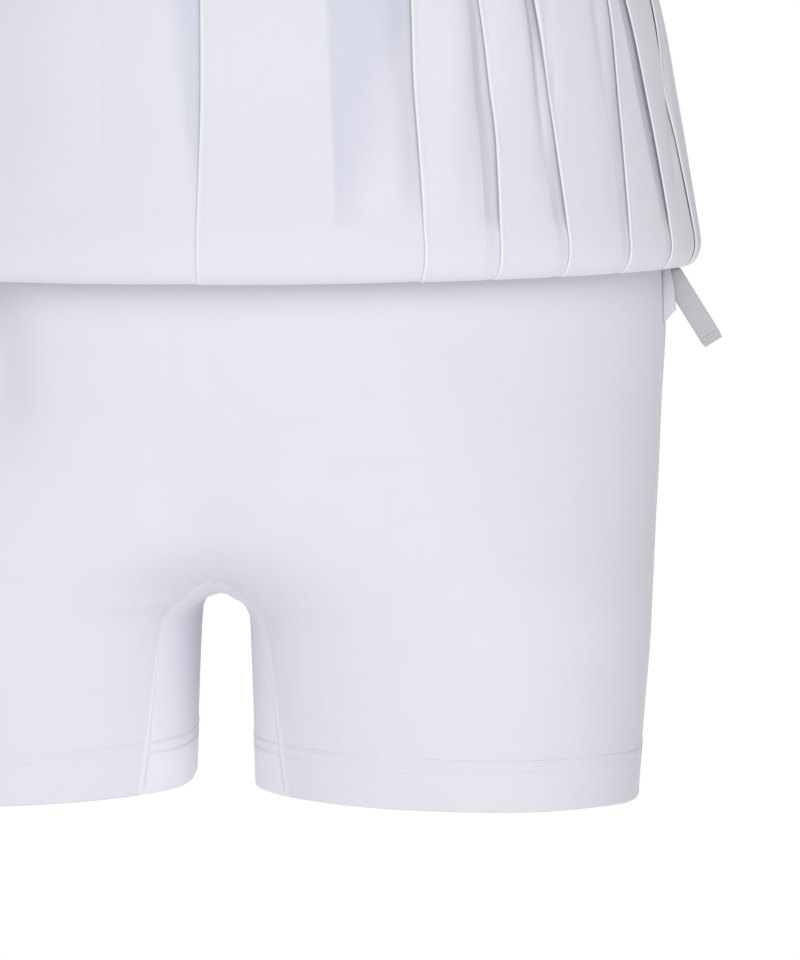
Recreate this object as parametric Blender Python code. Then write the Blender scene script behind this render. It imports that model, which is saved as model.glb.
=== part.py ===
"""Pleated golf skirt with inner shorts, worn by nobody: a hollow, filled-out garment.

The skirt's hem is turned under, so that a soft fold runs round the hips and the shorts show
below it.  The origin is the centre of the waist opening's top edge.  +Z is up, the garment's
front faces -Y, and +X is the wearer's left.  Sizes are in millimetres and angles in degrees,
and cloth_wall() and flat_piece() turn them into the metres of the scene.
"""

import math
from collections import namedtuple

import bmesh
import bpy
from mathutils import Vector

# ---------------------------------------------------------------- driving dimensions (mm)
MM = 0.001
SEAM_GAP = 0.35          # clear space between two pieces at a seam
SKIRT_WALL = 1.0         # woven skirt cloth
LAYER_GAP = 0.4          # air between the layers of a pressed pleat
SHORTS_WALL = 1.2        # knitted shorts cloth

WAIST_TOP = 0.0
BAND_HEIGHT = 38.0       # pull-on waistband
BAND_WALL = 3.0          # doubled cloth round elastic
BAND_SEGMENTS = 56
BandSection = namedtuple("BandSection", "z half_width front back")
BAND_SECTIONS = (
    BandSection(z=WAIST_TOP, half_width=131.0, front=97.0, back=99.5),
    BandSection(z=WAIST_TOP - BAND_HEIGHT, half_width=140.8, front=104.8, back=108.3),
)
CLOTH_TOP = WAIST_TOP - BAND_HEIGHT - SEAM_GAP

FOLD_BOTTOM_SIDE = -174.0   # lowest point of the turned-under skirt, at the hips
FOLD_BOTTOM_FRONT = -175.3  # and at centre front and back
FOLD_RADIUS_SIDE = 5.8   # of the soft fold, at the hips
FOLD_RADIUS_FRONT = 7.8  # of the soft fold, at centre front and back
TUCKED_HEM = -62.0       # height of the skirt's own hem, turned up inside
TUCKED_DEPTH = 9.4       # from the shell's face to the tucked cloth's, at that hem
SHELL_HEIGHTS = (CLOTH_TOP, -56.0, -80.0, -112.0, -142.0)   # rows of points down the shell
FOLD_TURNS = (0.0, 50.0, 90.0, 130.0, 180.0)                # rows round the fold, as angles
INSIDE_HEIGHTS = (-125.0, TUCKED_HEM)                       # rows up the tucked cloth

CROTCH = -291.5
SHORTS_HEM = -365.0
SHORTS_HEM_RISE = 5.0    # the hem is this much higher on the inner leg
CROTCH_ROUNDING = 7.0    # half-width of the soft arch between the legs
SIDE_SEAM_FORWARD = 14.0
GUSSET_DEPTH_TOP = 50.0  # from the side plane through the waist to the gusset's seams
GUSSET_DEPTH_HEM = 56.5
GUSSET_FLARE = 0.4       # how early the seams spread on their way down; 1 is evenly
GUSSET_COLUMNS = 8
ARCH_SEARCH_TOP = -250.0 # the arch lies below this height at every depth of the gusset
HALVINGS = 40
BODY_HEIGHTS = (CLOTH_TOP, -62.0, -95.0, -130.0, -165.0, -193.0, -222.0, -245.0, -264.0, -278.0)
ARCH_STEPS = 8           # rows from the arch's top to the hem
ARCH_CURVE = 1.9         # crowds those rows towards the arch's top
PANEL_COLUMNS = 10       # of half a front panel; the back has two more

# Outline of the skirt's outer face by height.
SkirtSection = namedtuple("SkirtSection", "z half_width front back")
SKIRT_SECTIONS = (
    SkirtSection(z=CLOTH_TOP, half_width=142.5, front=106.5, back=110.0),
    SkirtSection(z=-55.0, half_width=150.0, front=111.5, back=116.5),
    SkirtSection(z=-76.0, half_width=158.0, front=117.0, back=124.0),
    SkirtSection(z=-112.0, half_width=164.7, front=121.5, back=130.5),
    SkirtSection(z=-142.0, half_width=170.2, front=125.5, back=135.0),
    SkirtSection(z=-166.0, half_width=174.3, front=128.0, back=138.0),
)

# Outline of the shorts' outer face by height; fullness 2 is an ellipse, more is squarer.
ShortsSection = namedtuple("ShortsSection", "z half_width front back fullness")
SHORTS_SECTIONS = (
    ShortsSection(z=CLOTH_TOP, half_width=138.3, front=102.3, back=105.8, fullness=2.0),
    ShortsSection(z=-62.0, half_width=141.0, front=102.5, back=107.5, fullness=2.0),
    ShortsSection(z=-95.0, half_width=147.5, front=104.0, back=111.5, fullness=2.0),
    ShortsSection(z=-130.0, half_width=154.5, front=106.5, back=116.0, fullness=2.0),
    ShortsSection(z=-165.0, half_width=160.3, front=110.0, back=119.5, fullness=2.0),
    ShortsSection(z=-193.0, half_width=161.0, front=110.0, back=119.5, fullness=2.03),
    ShortsSection(z=-222.0, half_width=159.6, front=108.0, back=117.0, fullness=2.12),
    ShortsSection(z=-245.0, half_width=158.7, front=104.0, back=111.5, fullness=2.2),
    ShortsSection(z=-268.0, half_width=157.6, front=99.0, back=102.5, fullness=2.25),
    ShortsSection(z=-293.0, half_width=156.6, front=92.5, back=90.0, fullness=2.25),
    ShortsSection(z=-311.0, half_width=155.8, front=88.0, back=82.5, fullness=2.2),
    ShortsSection(z=-335.0, half_width=153.9, front=84.0, back=76.5, fullness=2.2),
    ShortsSection(z=SHORTS_HEM, half_width=151.7, front=80.0, back=72.5, fullness=2.2),
)

# Where each leg's inner side lies, measured from the garment's centre plane.  Below the
# crotch it is the inner leg; above it the two legs run into each other and become the hips.
# The innermost point of a leg lies forward of the middle, as on a thigh.
LegParting = namedtuple("LegParting", "z inner forward")
LEG_PARTINGS = (
    LegParting(z=CLOTH_TOP, inner=-138.3, forward=0.0),
    LegParting(z=-95.0, inner=-147.5, forward=0.0),
    LegParting(z=-165.0, inner=-160.3, forward=0.0),
    LegParting(z=-205.0, inner=-135.0, forward=0.0),
    LegParting(z=-245.0, inner=-84.0, forward=0.0),
    LegParting(z=-268.0, inner=-40.0, forward=4.0),
    LegParting(z=-279.0, inner=-10.0, forward=10.0),
    LegParting(z=-285.0, inner=1.5, forward=14.0),
    LegParting(z=CROTCH, inner=CROTCH_ROUNDING, forward=17.0),
    LegParting(z=-294.5, inner=10.4, forward=18.0),
    LegParting(z=-300.0, inner=12.2, forward=20.0),
    LegParting(z=-311.0, inner=12.6, forward=22.0),
    LegParting(z=SHORTS_HEM, inner=13.9, forward=25.0),
)

# Pleats, each a knife pleat whose folded edge faces the wearer's right.  The cloth laps over
# the pleat before it, and its underlay is the doubled cloth hidden below.  A wide pleat
# leads each half of the front and back panels, and narrow ones fill the hips.
WIDE_PITCH = 28.0        # from pleat edge to pleat edge, as an angle round the waist
WIDE_UNDERLAY = 16.4
WIDE_STEPS = 3           # sections across a wide underlay
NARROW_PER_HIP = 11
NARROW_PITCH = (180.0 - 2.0 * WIDE_PITCH) / NARROW_PER_HIP
NARROW_UNDERLAY = 7.6
FRONT_HIP_PLEATS = 6     # narrow pleats of the wearer's right hip in the front panel
PANEL_DIP = 0.7          # where a panel has dropped below the next edge, before that edge
WIDE_PANEL_STEPS = 3     # sections across a wide pleat's face
PANEL_SAG = 1.5          # how late a wide face drops to the next edge; 1 is evenly

# How far each pleat edge stands off, at three heights, and how it sways along its length.
# Only the pleats of the wearer's left hip and their neighbours differ from the plain ones.
EdgeForm = namedtuple(
    "EdgeForm", "lift_top lift_middle lift_low sway_top sway_middle sway_low")
PLAIN_EDGE = EdgeForm(0.6, 1.6, 0.5, 0.0, 0.0, 0.0)
EDGE_FORMS = {
    "wide_right": EdgeForm(0.4, 0.6, 0.2, 0.0, 0.2, 0.0),
    "centre": EdgeForm(0.4, 0.5, 0.2, 0.8, 1.0, 0.6),
    "hip_0": EdgeForm(0.8, 3.0, 0.6, 0.8, -0.4, 0.0),
    "hip_1": EdgeForm(0.5, 1.6, 2.2, -1.2, -1.2, -1.2),
    "hip_2": EdgeForm(0.8, 2.0, 1.0, -2.0, -1.7, -1.4),
    "hip_3": EdgeForm(3.0, 2.5, 1.0, 2.0, 0.8, 0.0),
    "hip_4": EdgeForm(3.0, 5.5, 1.0, -1.0, 0.0, 0.0),
    "hip_5": EdgeForm(1.0, 2.0, 4.0, 0.0, 0.0, 0.0),
    "hip_6": EdgeForm(1.5, 4.0, 1.0, 1.0, 0.5, 0.0),
    "hip_7": EdgeForm(0.6, 2.0, 2.5, -0.6, 0.0, 0.0),
    "hip_8": EdgeForm(2.0, 3.2, 0.6, 0.8, -0.4, 0.0),
}
BACK_FORMS_FROM = 4      # the wearer's right hip takes the same forms, begun at another pleat
EDGE_TOP = -60.0         # the three heights that the table above gives values for
EDGE_MIDDLE = -112.0
EDGE_LOW = -162.0

# The loop of woven tape and the small cloth tab, both sewn into the left side seam.
TAPE_WIDTH = 7.8
TAPE_LENGTH = 25.5
TAPE_WALL = 1.6          # two layers of tape
TAPE_LEAN = 32.0         # of the hanging tape, out from straight down
TAPE_TOP = (165.0, -178.2)
TAPE_CORNER = 1.2
TAB_WALL = 1.0
TAB_OUTLINE = (          # (out from the side seam, height), clockwise from the top
    (0.0, -174.6), (2.6, -174.6), (4.0, -179.5), (4.6, -188.0), (2.4, -190.2), (0.0, -193.2),
)
TAB_SETBACK = 0.6        # behind the side seam

Pleat = namedtuple("Pleat", "edge underlay steps form")
PathPoint = namedtuple("PathPoint", "angle layer edge_share form")


# ---------------------------------------------------------------- small helpers
def clear_scene():
    for item in list(bpy.data.objects):
        bpy.data.objects.remove(item, do_unlink=True)


def fabric(name, colour, roughness):
    material = bpy.data.materials.new(name)
    material.use_nodes = True
    shader = material.node_tree.nodes["Principled BSDF"]
    shader.inputs["Base Color"].default_value = (*colour, 1.0)
    shader.inputs["Roughness"].default_value = roughness
    shader.inputs["Metallic"].default_value = 0.0
    material.diffuse_color = (*colour, 1.0)
    return material


def column(rows, name, z):
    """Value of one column of a table of heights, on a smooth curve that never overshoots."""
    heights = [row.z for row in rows]
    values = [getattr(row, name) for row in rows]
    if z >= heights[0]:
        return values[0]
    if z <= heights[-1]:
        return values[-1]
    last = len(rows) - 1
    k = next(i for i in range(last) if z >= heights[i + 1])
    spans = [heights[i + 1] - heights[i] for i in range(last)]
    slopes = [(values[i + 1] - values[i]) / spans[i] for i in range(last)]

    def tangent(i):
        if i in (0, last):
            return slopes[0] if i == 0 else slopes[-1]
        before, after = slopes[i - 1], slopes[i]
        return 0.0 if before * after <= 0.0 else 2.0 * before * after / (before + after)

    t = (z - heights[k]) / spans[k]
    start = (1.0 + 2.0 * t) * (1.0 - t) ** 2 * values[k] + t * (1.0 - t) ** 2 * spans[k] * tangent(k)
    end = t * t * (3.0 - 2.0 * t) * values[k + 1] + t * t * (t - 1.0) * spans[k] * tangent(k + 1)
    return start + end


def blend(low, high, share):
    return low + (high - low) * share


def signed_power(value, exponent):
    return math.copysign(abs(value) ** exponent, value)


def finish_object(bm, name, material):
    bmesh.ops.recalc_face_normals(bm, faces=bm.faces)
    mesh = bpy.data.meshes.new(name)
    bm.to_mesh(mesh)
    bm.free()
    mesh.materials.append(material)
    mesh.shade_smooth()
    mesh.set_sharp_from_angle(angle=math.radians(50.0))
    item = bpy.data.objects.new(name, mesh)
    bpy.context.scene.collection.objects.link(item)
    return item


def cloth_wall(name, outer, inner, faces, material):
    """One closed wall from matching outer and inner points and the faces of the outer side."""
    bm = bmesh.new()
    outer_verts = [bm.verts.new(Vector(point) * MM) for point in outer]
    inner_verts = [bm.verts.new(Vector(point) * MM) for point in inner]
    edge_uses = {}
    for face in faces:
        bm.faces.new([outer_verts[i] for i in face])
        bm.faces.new([inner_verts[i] for i in reversed(face)])
        for i, j in zip(face, face[1:] + face[:1]):
            edge_uses.setdefault(frozenset((i, j)), []).append((i, j))
    for uses in edge_uses.values():
        if len(uses) == 1:
            i, j = uses[0]
            bm.faces.new([outer_verts[j], outer_verts[i], inner_verts[i], inner_verts[j]])
    return finish_object(bm, name, material)


def grid_faces(rows, columns):
    """Quads of a grid whose points are stored row by row."""
    return [
        [r * columns + c, r * columns + c + 1, (r + 1) * columns + c + 1, (r + 1) * columns + c]
        for r in range(rows - 1) for c in range(columns - 1)
    ]


# ---------------------------------------------------------------- waistband
def make_waistband(material):
    """A plain pull-on band: one closed ring of doubled cloth, a little narrower at its top."""
    outer, inner = [], []
    for z, half_width, front, back in BAND_SECTIONS:
        for k in range(BAND_SEGMENTS):
            angle = 2.0 * math.pi * k / BAND_SEGMENTS
            depth = front if math.cos(angle) > 0.0 else back
            side = math.sin(angle)
            ahead = -math.cos(angle)
            outer.append((half_width * side, depth * ahead, z))
            inner.append(((half_width - BAND_WALL) * side, (depth - BAND_WALL) * ahead, z))
    faces = [
        [k, (k + 1) % BAND_SEGMENTS, BAND_SEGMENTS + (k + 1) % BAND_SEGMENTS, BAND_SEGMENTS + k]
        for k in range(BAND_SEGMENTS)
    ]
    return cloth_wall("waistband", outer, inner, faces, material)


# ---------------------------------------------------------------- pleated skirt
def all_pleats():
    """Every pleat round the waist, from the wearer's right hip to the right hip again."""
    pleats = []
    for half in (0.0, 180.0):
        for edge, form in ((-WIDE_PITCH, "wide_right"), (0.0, "centre")):
            pleats.append(Pleat(half + edge, WIDE_UNDERLAY, WIDE_STEPS, EDGE_FORMS[form]))
        for k in range(NARROW_PER_HIP):
            like = k if half == 0.0 else (k + BACK_FORMS_FROM) % NARROW_PER_HIP
            form = EDGE_FORMS.get(f"hip_{like}", PLAIN_EDGE)
            edge = half + WIDE_PITCH + k * NARROW_PITCH
            pleats.append(Pleat(edge, NARROW_UNDERLAY, 1, form))
    return pleats


def pleat_run(pleats, first, count):
    """The folded line of cloth through count pleats, as seen in a level section.

    It starts at the inner fold of the first pleat, where the side seam lies, and ends at the
    inner fold of the pleat after the last one.
    """
    run = []
    total = len(pleats)
    for number in range(first, first + count):
        turn = 360.0 * (number // total)
        pleat = pleats[number % total]
        following = pleats[(number + 1) % total]
        edge = pleat.edge + turn
        next_edge = following.edge + 360.0 * ((number + 1) // total)
        step = pleat.underlay / pleat.steps
        for k in range(pleat.steps, -1, -1):
            run.append(PathPoint(edge + k * step, 1.0, float(k == 0), pleat.form))
        for k in range(pleat.steps + 1):
            run.append(PathPoint(edge + k * step, 0.0, float(k == 0), pleat.form))
        start = edge + pleat.underlay
        span = next_edge - PANEL_DIP - start
        drops = WIDE_PANEL_STEPS if pleat.steps > 1 else 1
        for k in range(1, drops + 1):
            depth = 2.0 * (k / drops) ** PANEL_SAG
            run.append(PathPoint(start + span * k / drops, depth, 0.0, pleat.form))
        under_step = following.underlay / following.steps
        for k in range(1, following.steps + 1):
            run.append(PathPoint(next_edge + k * under_step, 2.0, 0.0, pleat.form))
    return run


def edge_value(form, name, z):
    """A pleat edge's lift or sway at a height, on straight runs between its table's heights."""
    top, middle, low = (getattr(form, f"{name}_{where}") for where in ("top", "middle", "low"))
    if z >= EDGE_MIDDLE:
        return blend(middle, top, min(1.0, (z - EDGE_MIDDLE) / (EDGE_TOP - EDGE_MIDDLE)))
    return blend(middle, low, min(1.0, (EDGE_MIDDLE - z) / (EDGE_MIDDLE - EDGE_LOW)))


def towards_front(angle):
    """One at centre front and back, and nothing at the hips."""
    return math.cos(math.radians(angle)) ** 2


def ring_point(angle, z, outward):
    """A point beside the skirt's outer face at a height, moved level along its normal."""
    t = math.radians(angle)
    half_width = column(SKIRT_SECTIONS, "half_width", z)
    depth = column(SKIRT_SECTIONS, "front" if math.cos(t) > 0.0 else "back", z)
    normal = Vector((math.sin(t) / half_width, -math.cos(t) / depth, 0.0)).normalized()
    return Vector((half_width * math.sin(t), -depth * math.cos(t), z)) + normal * outward


def skirt_rows():
    """Down the shell, round the soft fold and up inside: (kind, value) for each row."""
    shell = [("shell", z) for z in SHELL_HEIGHTS]
    fold = [("fold", turn) for turn in FOLD_TURNS]
    inside = [("inside", z) for z in INSIDE_HEIGHTS]
    return shell + fold + inside


def skirt_point(row, angle, depth):
    """A point of the cloth: depth is measured outward from the skirt's outer face."""
    kind, value = row
    if kind == "shell":
        return ring_point(angle, value, depth)
    radius = blend(FOLD_RADIUS_SIDE, FOLD_RADIUS_FRONT, towards_front(angle))
    bottom = blend(FOLD_BOTTOM_SIDE, FOLD_BOTTOM_FRONT, towards_front(angle))
    centre_z = bottom + radius
    if kind == "fold":
        turn = math.radians(value)
        out = -radius + (radius + depth) * math.cos(turn)
        point = ring_point(angle, centre_z, out)
        return point - Vector((0.0, 0.0, (radius + depth) * math.sin(turn)))
    tucked = blend(2.0 * radius, TUCKED_DEPTH, (value - centre_z) / (TUCKED_HEM - centre_z))
    return ring_point(angle, value, -tucked - depth)


def row_height(row):
    return row[1] if row[0] == "shell" else FOLD_BOTTOM_SIDE


def wall_sides(run, row):
    """Both faces of the cloth along one row, by moving its line half a wall to each side."""
    z = row_height(row)
    level = SKIRT_WALL + LAYER_GAP
    line = []
    arc_per_degree = []
    for point in run:
        sway = edge_value(point.form, "sway", z) * point.edge_share
        lift = edge_value(point.form, "lift", z) * point.edge_share if row[0] == "shell" else 0.0
        angle = point.angle + sway
        t = math.radians(angle)
        half_width = column(SKIRT_SECTIONS, "half_width", z)
        depth = column(SKIRT_SECTIONS, "front" if math.cos(t) > 0.0 else "back", z)
        scale = math.radians(1.0) * math.hypot(half_width * math.cos(t), depth * math.sin(t))
        arc_per_degree.append(scale)
        line.append((angle, -point.layer * level - SKIRT_WALL / 2.0 + lift))
    sides = ([], [])
    for k, (angle, depth) in enumerate(line):
        scale = arc_per_degree[k]
        before = line[max(k - 1, 0)]
        after = line[min(k + 1, len(line) - 1)]
        arriving = Vector(((angle - before[0]) * scale, depth - before[1]))
        leaving = Vector(((after[0] - angle) * scale, after[1] - depth))
        arriving = arriving.normalized() if k > 0 else leaving.normalized()
        leaving = leaving.normalized() if k < len(line) - 1 else arriving
        left_in = Vector((-arriving.y, arriving.x))
        left_out = Vector((-leaving.y, leaving.x))
        mitre = (left_in + left_out) / (1.0 + left_in.dot(left_out)) * SKIRT_WALL / 2.0
        for side, sign in zip(sides, (1.0, -1.0)):
            side.append(skirt_point(row, angle + sign * mitre.x / scale, depth + sign * mitre.y))
    return sides


def make_skirt_panel(name, pleats, first, count, material):
    run = pleat_run(pleats, first, count)
    rows = skirt_rows()
    outer, inner = [], []
    for row in rows:
        left, right = wall_sides(run, row)
        outer.extend(left)
        inner.extend(right)
    return cloth_wall(name, outer, inner, grid_faces(len(rows), len(run)), material)


# ---------------------------------------------------------------- inner shorts
def leg_ring(z):
    """Centre, half-width, front and back depth, fullness and forward lean of a leg's section."""
    outside = column(SHORTS_SECTIONS, "half_width", z)
    inside = column(LEG_PARTINGS, "inner", z)
    return (
        (outside + inside) / 2.0, (outside - inside) / 2.0,
        column(SHORTS_SECTIONS, "front", z), column(SHORTS_SECTIONS, "back", z),
        column(SHORTS_SECTIONS, "fullness", z), column(LEG_PARTINGS, "forward", z),
    )


def inner_shift(across, forward):
    """How far forward a leg's section lies at a share of its half-width, -1 at its inner side."""
    return forward * max(-1.0, min(0.0, across)) ** 2


def shorts_field(x, y, z):
    """Below zero inside the filled-out shorts, and above it outside them."""
    centre, half_width, front, back, fullness, forward = leg_ring(z)
    across = (math.hypot(x, CROTCH_ROUNDING) - centre) / half_width
    shift = inner_shift(across, forward)
    ahead = y + shift
    depth = front - shift if ahead < 0.0 else back + shift
    return abs(across) ** fullness + abs(ahead / depth) ** fullness - 1.0


def shorts_normal(point):
    """Outward direction of the shorts' face, from how the field changes beside the point."""
    reach = 0.02
    slopes = []
    for axis in range(3):
        ahead, behind = list(point), list(point)
        ahead[axis] += reach
        behind[axis] -= reach
        slopes.append(shorts_field(*ahead) - shorts_field(*behind))
    return Vector(slopes).normalized()


def ring_depth(ring, angle):
    """Place along Y of a leg's section at an angle from its outer side over the front."""
    _, _, front, back, fullness, forward = ring
    shift = inner_shift(signed_power(math.cos(angle), 2.0 / fullness), forward)
    along = signed_power(math.sin(angle), 2.0 / fullness)
    return -(front - shift if along > 0.0 else back + shift) * along - shift


def angle_at_depth(y, z, inner_side):
    """Angle round a leg, from its outer side over the front, of a point at depth y."""
    ring = leg_ring(z)
    low, high = (0.5 * math.pi, 1.5 * math.pi) if inner_side else (0.5 * math.pi, -0.5 * math.pi)
    for _ in range(HALVINGS):
        middle = (low + high) / 2.0
        if ring_depth(ring, middle) < y:
            low = middle
        else:
            high = middle
    return low if low < math.pi else low - 2.0 * math.pi


def angle_at_centre(z, front_side):
    """Angle round a leg at which its section crosses the garment's centre plane."""
    centre, half_width, _, _, fullness, _ = leg_ring(z)
    across = max(-1.0, (CROTCH_ROUNDING - centre) / half_width)
    angle = math.acos(signed_power(across, fullness / 2.0))
    return angle if front_side else -angle


def leg_point(angle, z, side):
    ring = leg_ring(z)
    centre, half_width, _, _, fullness, _ = ring
    across = centre + half_width * signed_power(math.cos(angle), 2.0 / fullness)
    x = math.sqrt(max(across ** 2 - CROTCH_ROUNDING ** 2, 0.0))
    return Vector((side * x, ring_depth(ring, angle), z))


def parting_height(y):
    """Height of the arch between the legs at a depth, found by halving."""
    low, high = SHORTS_HEM, ARCH_SEARCH_TOP
    for _ in range(HALVINGS):
        middle = (low + high) / 2.0
        if shorts_field(0.0, y, middle) > 0.0:
            low = middle
        else:
            high = middle
    return high


def gusset_depth(down):
    """Depth of the gusset's seams, from the arch's top (0) to the hem (1)."""
    return blend(GUSSET_DEPTH_TOP, GUSSET_DEPTH_HEM, down ** GUSSET_FLARE)


def hem_height(angle):
    return SHORTS_HEM + SHORTS_HEM_RISE * (1.0 - math.cos(angle)) / 2.0


def make_shorts_panel(name, is_front, material):
    """Front or back of the shorts, in one piece: hips, both legs, and the arch between."""
    facing = -1.0 if is_front else 1.0
    seam_y = -SIDE_SEAM_FORWARD if is_front else -SIDE_SEAM_FORWARD + SEAM_GAP
    columns = PANEL_COLUMNS if is_front else PANEL_COLUMNS + 2
    points, index = [], {}

    def add(side, row, col, point):
        on_centre = col == 0 and row < len(BODY_HEIGHTS) + 1
        key = (0 if on_centre else side, row, col)
        if key not in index:
            index[key] = len(points)
            points.append(point)
        return index[key]

    table = {}
    for side in (-1, 1):
        for row in range(len(BODY_HEIGHTS) + ARCH_STEPS + 1):
            if row < len(BODY_HEIGHTS):
                inner_z = outer_z = BODY_HEIGHTS[row]
                inner_angle = angle_at_centre(inner_z, is_front)
            else:
                down = (row - len(BODY_HEIGHTS)) / ARCH_STEPS
                y = facing * gusset_depth(down)
                hem = hem_height(angle_at_depth(y, SHORTS_HEM, True))
                inner_z = blend(parting_height(y), hem, down ** ARCH_CURVE)
                outer_z = blend(CROTCH, SHORTS_HEM, down)
                inner_angle = angle_at_depth(y, inner_z, True)
            outer_angle = angle_at_depth(seam_y, outer_z, False)
            for col in range(columns + 1):
                share = col / columns
                z = blend(inner_z, outer_z, share)
                angle = blend(inner_angle, outer_angle, share)
                if row == len(BODY_HEIGHTS) + ARCH_STEPS:
                    z = hem_height(angle)
                table[side, row, col] = add(side, row, col, leg_point(angle, z, side))
    faces = []
    for side in (-1, 1):
        for row in range(len(BODY_HEIGHTS) + ARCH_STEPS):
            for col in range(columns):
                face = [table[side, row, col], table[side, row, col + 1],
                        table[side, row + 1, col + 1], table[side, row + 1, col]]
                faces.append(face if side > 0 else face[::-1])
    inner = [point - shorts_normal(point) * SHORTS_WALL for point in points]
    return cloth_wall(name, points, inner, faces, material)


def make_gusset(material):
    """The horseshoe strip from one hem, over the crotch, to the other hem."""
    stations = [-(1.0 - k / ARCH_STEPS) for k in range(ARCH_STEPS)]
    stations += [0.0] + [-s for s in reversed(stations)]
    points = []
    for station in stations:
        down = abs(station)
        half = gusset_depth(down) - SEAM_GAP
        for col in range(GUSSET_COLUMNS + 1):
            y = half * (2.0 * col / GUSSET_COLUMNS - 1.0)
            hem = hem_height(angle_at_depth(y, SHORTS_HEM, True))
            z = blend(parting_height(y), hem, down ** ARCH_CURVE)
            side = 1.0 if station > 0.0 else -1.0
            points.append(leg_point(angle_at_depth(y, z, True), z, side))
    inner = [point - shorts_normal(point) * SHORTS_WALL for point in points]
    faces = grid_faces(len(stations), GUSSET_COLUMNS + 1)
    return cloth_wall("shorts_gusset", points, inner, faces, material)


# ---------------------------------------------------------------- side tab and tape
def flat_piece(name, outline, front_y, wall, material):
    """A flat cut piece that faces forward: its outline is given as (x, z)."""
    bm = bmesh.new()
    verts = [bm.verts.new((x * MM, front_y * MM, z * MM)) for x, z in outline]
    front = bm.faces.new(verts)
    made = bmesh.ops.extrude_face_region(bm, geom=[front])
    moved = [item for item in made["geom"] if isinstance(item, bmesh.types.BMVert)]
    bmesh.ops.translate(bm, verts=moved, vec=(0.0, wall * MM, 0.0))
    bmesh.ops.recalc_face_normals(bm, faces=bm.faces)
    return finish_object(bm, name, material)


def make_side_tab(material):
    front_y = -SIDE_SEAM_FORWARD + TAB_SETBACK
    outline = []
    for out, z in TAB_OUTLINE:
        angle = angle_at_depth(front_y + TAB_WALL, z, False)
        outline.append((leg_point(angle, z, 1).x + SEAM_GAP + out, z))
    return flat_piece("side_tab", outline, front_y, TAB_WALL, material)


def make_side_tape(material):
    """A doubled length of tape that leans out behind the tab, with its corners cut."""
    front_y = -SIDE_SEAM_FORWARD + TAB_SETBACK + TAB_WALL + SEAM_GAP
    lean = math.radians(TAPE_LEAN)
    along = Vector((math.sin(lean), -math.cos(lean)))
    across = Vector((math.cos(lean), math.sin(lean)))
    top = Vector(TAPE_TOP)
    half = TAPE_WIDTH / 2.0
    outline = [
        top + across * half,
        top + across * half + along * (TAPE_LENGTH - TAPE_CORNER),
        top + across * (half - TAPE_CORNER) + along * TAPE_LENGTH,
        top - across * (half - TAPE_CORNER) + along * TAPE_LENGTH,
        top - across * half + along * (TAPE_LENGTH - TAPE_CORNER),
        top - across * half + along * half,
    ]
    return flat_piece("side_tape", [tuple(point) for point in outline], front_y, TAPE_WALL, material)


# ---------------------------------------------------------------- the whole garment
def build():
    clear_scene()
    woven = fabric("white_woven_stretch", (0.78, 0.78, 0.83), 0.75)
    knit = fabric("white_stretch_knit", (0.80, 0.80, 0.85), 0.70)
    tape = fabric("grey_satin_tape", (0.40, 0.40, 0.41), 0.55)
    make_waistband(woven)
    pleats = all_pleats()
    panel_pleats = len(pleats) // 2
    make_skirt_panel("skirt_front", pleats, -FRONT_HIP_PLEATS, panel_pleats, woven)
    make_skirt_panel("skirt_back", pleats, panel_pleats - FRONT_HIP_PLEATS, panel_pleats, woven)
    make_shorts_panel("shorts_front", True, knit)
    make_shorts_panel("shorts_back", False, knit)
    make_gusset(knit)
    make_side_tab(knit)
    make_side_tape(tape)


build()
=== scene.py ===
"""Looks of a pleated golf skirt with inner shorts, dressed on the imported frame.

The skirt's hem is turned under, so a soft fold runs round the hips and the shorts show below
it.  Sizes are in millimetres and angles in degrees round the waist: 0 is centre front, and
positive angles run to the wearer's left (+X).  Meshes are made in metres, in the frame's axes.
"""

from __future__ import annotations

import logging
import math
from collections.abc import Callable, Iterable, Sequence
from dataclasses import dataclass, field
from enum import Enum
from typing import NamedTuple

import bmesh
import bpy
from mathutils import Matrix, Vector
from mathutils.kdtree import KDTree

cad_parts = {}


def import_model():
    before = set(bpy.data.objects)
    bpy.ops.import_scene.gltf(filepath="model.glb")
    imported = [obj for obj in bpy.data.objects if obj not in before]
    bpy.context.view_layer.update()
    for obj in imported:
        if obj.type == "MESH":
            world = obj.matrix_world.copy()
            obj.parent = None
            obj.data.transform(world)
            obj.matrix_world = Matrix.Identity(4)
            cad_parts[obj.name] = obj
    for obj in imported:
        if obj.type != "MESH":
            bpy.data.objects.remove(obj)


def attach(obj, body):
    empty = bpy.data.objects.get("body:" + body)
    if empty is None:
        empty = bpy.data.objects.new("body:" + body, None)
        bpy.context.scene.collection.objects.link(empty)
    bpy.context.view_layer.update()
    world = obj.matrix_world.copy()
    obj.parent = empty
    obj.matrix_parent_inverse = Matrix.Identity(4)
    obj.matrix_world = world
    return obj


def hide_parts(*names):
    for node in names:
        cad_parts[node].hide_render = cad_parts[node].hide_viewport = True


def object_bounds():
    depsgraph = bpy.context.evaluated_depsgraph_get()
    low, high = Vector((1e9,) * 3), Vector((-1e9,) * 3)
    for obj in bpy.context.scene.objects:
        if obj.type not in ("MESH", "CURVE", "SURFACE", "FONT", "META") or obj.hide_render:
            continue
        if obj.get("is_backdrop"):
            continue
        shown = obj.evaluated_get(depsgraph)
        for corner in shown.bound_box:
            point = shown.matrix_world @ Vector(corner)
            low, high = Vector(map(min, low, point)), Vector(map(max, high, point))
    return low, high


LOG = logging.getLogger("golf_skirt")
MM = 0.001
BODY = "root"
CLOTH_UV = "cloth"
PAINTED_SHADE = "show_through"
PAINTED_LIGHT = "pressed"


# ---------------------------------------------------------------- small mathematics
def blend(low: float, high: float, share: float) -> float:
    """Value between low (share 0) and high (share 1)."""
    return low + (high - low) * share


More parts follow.
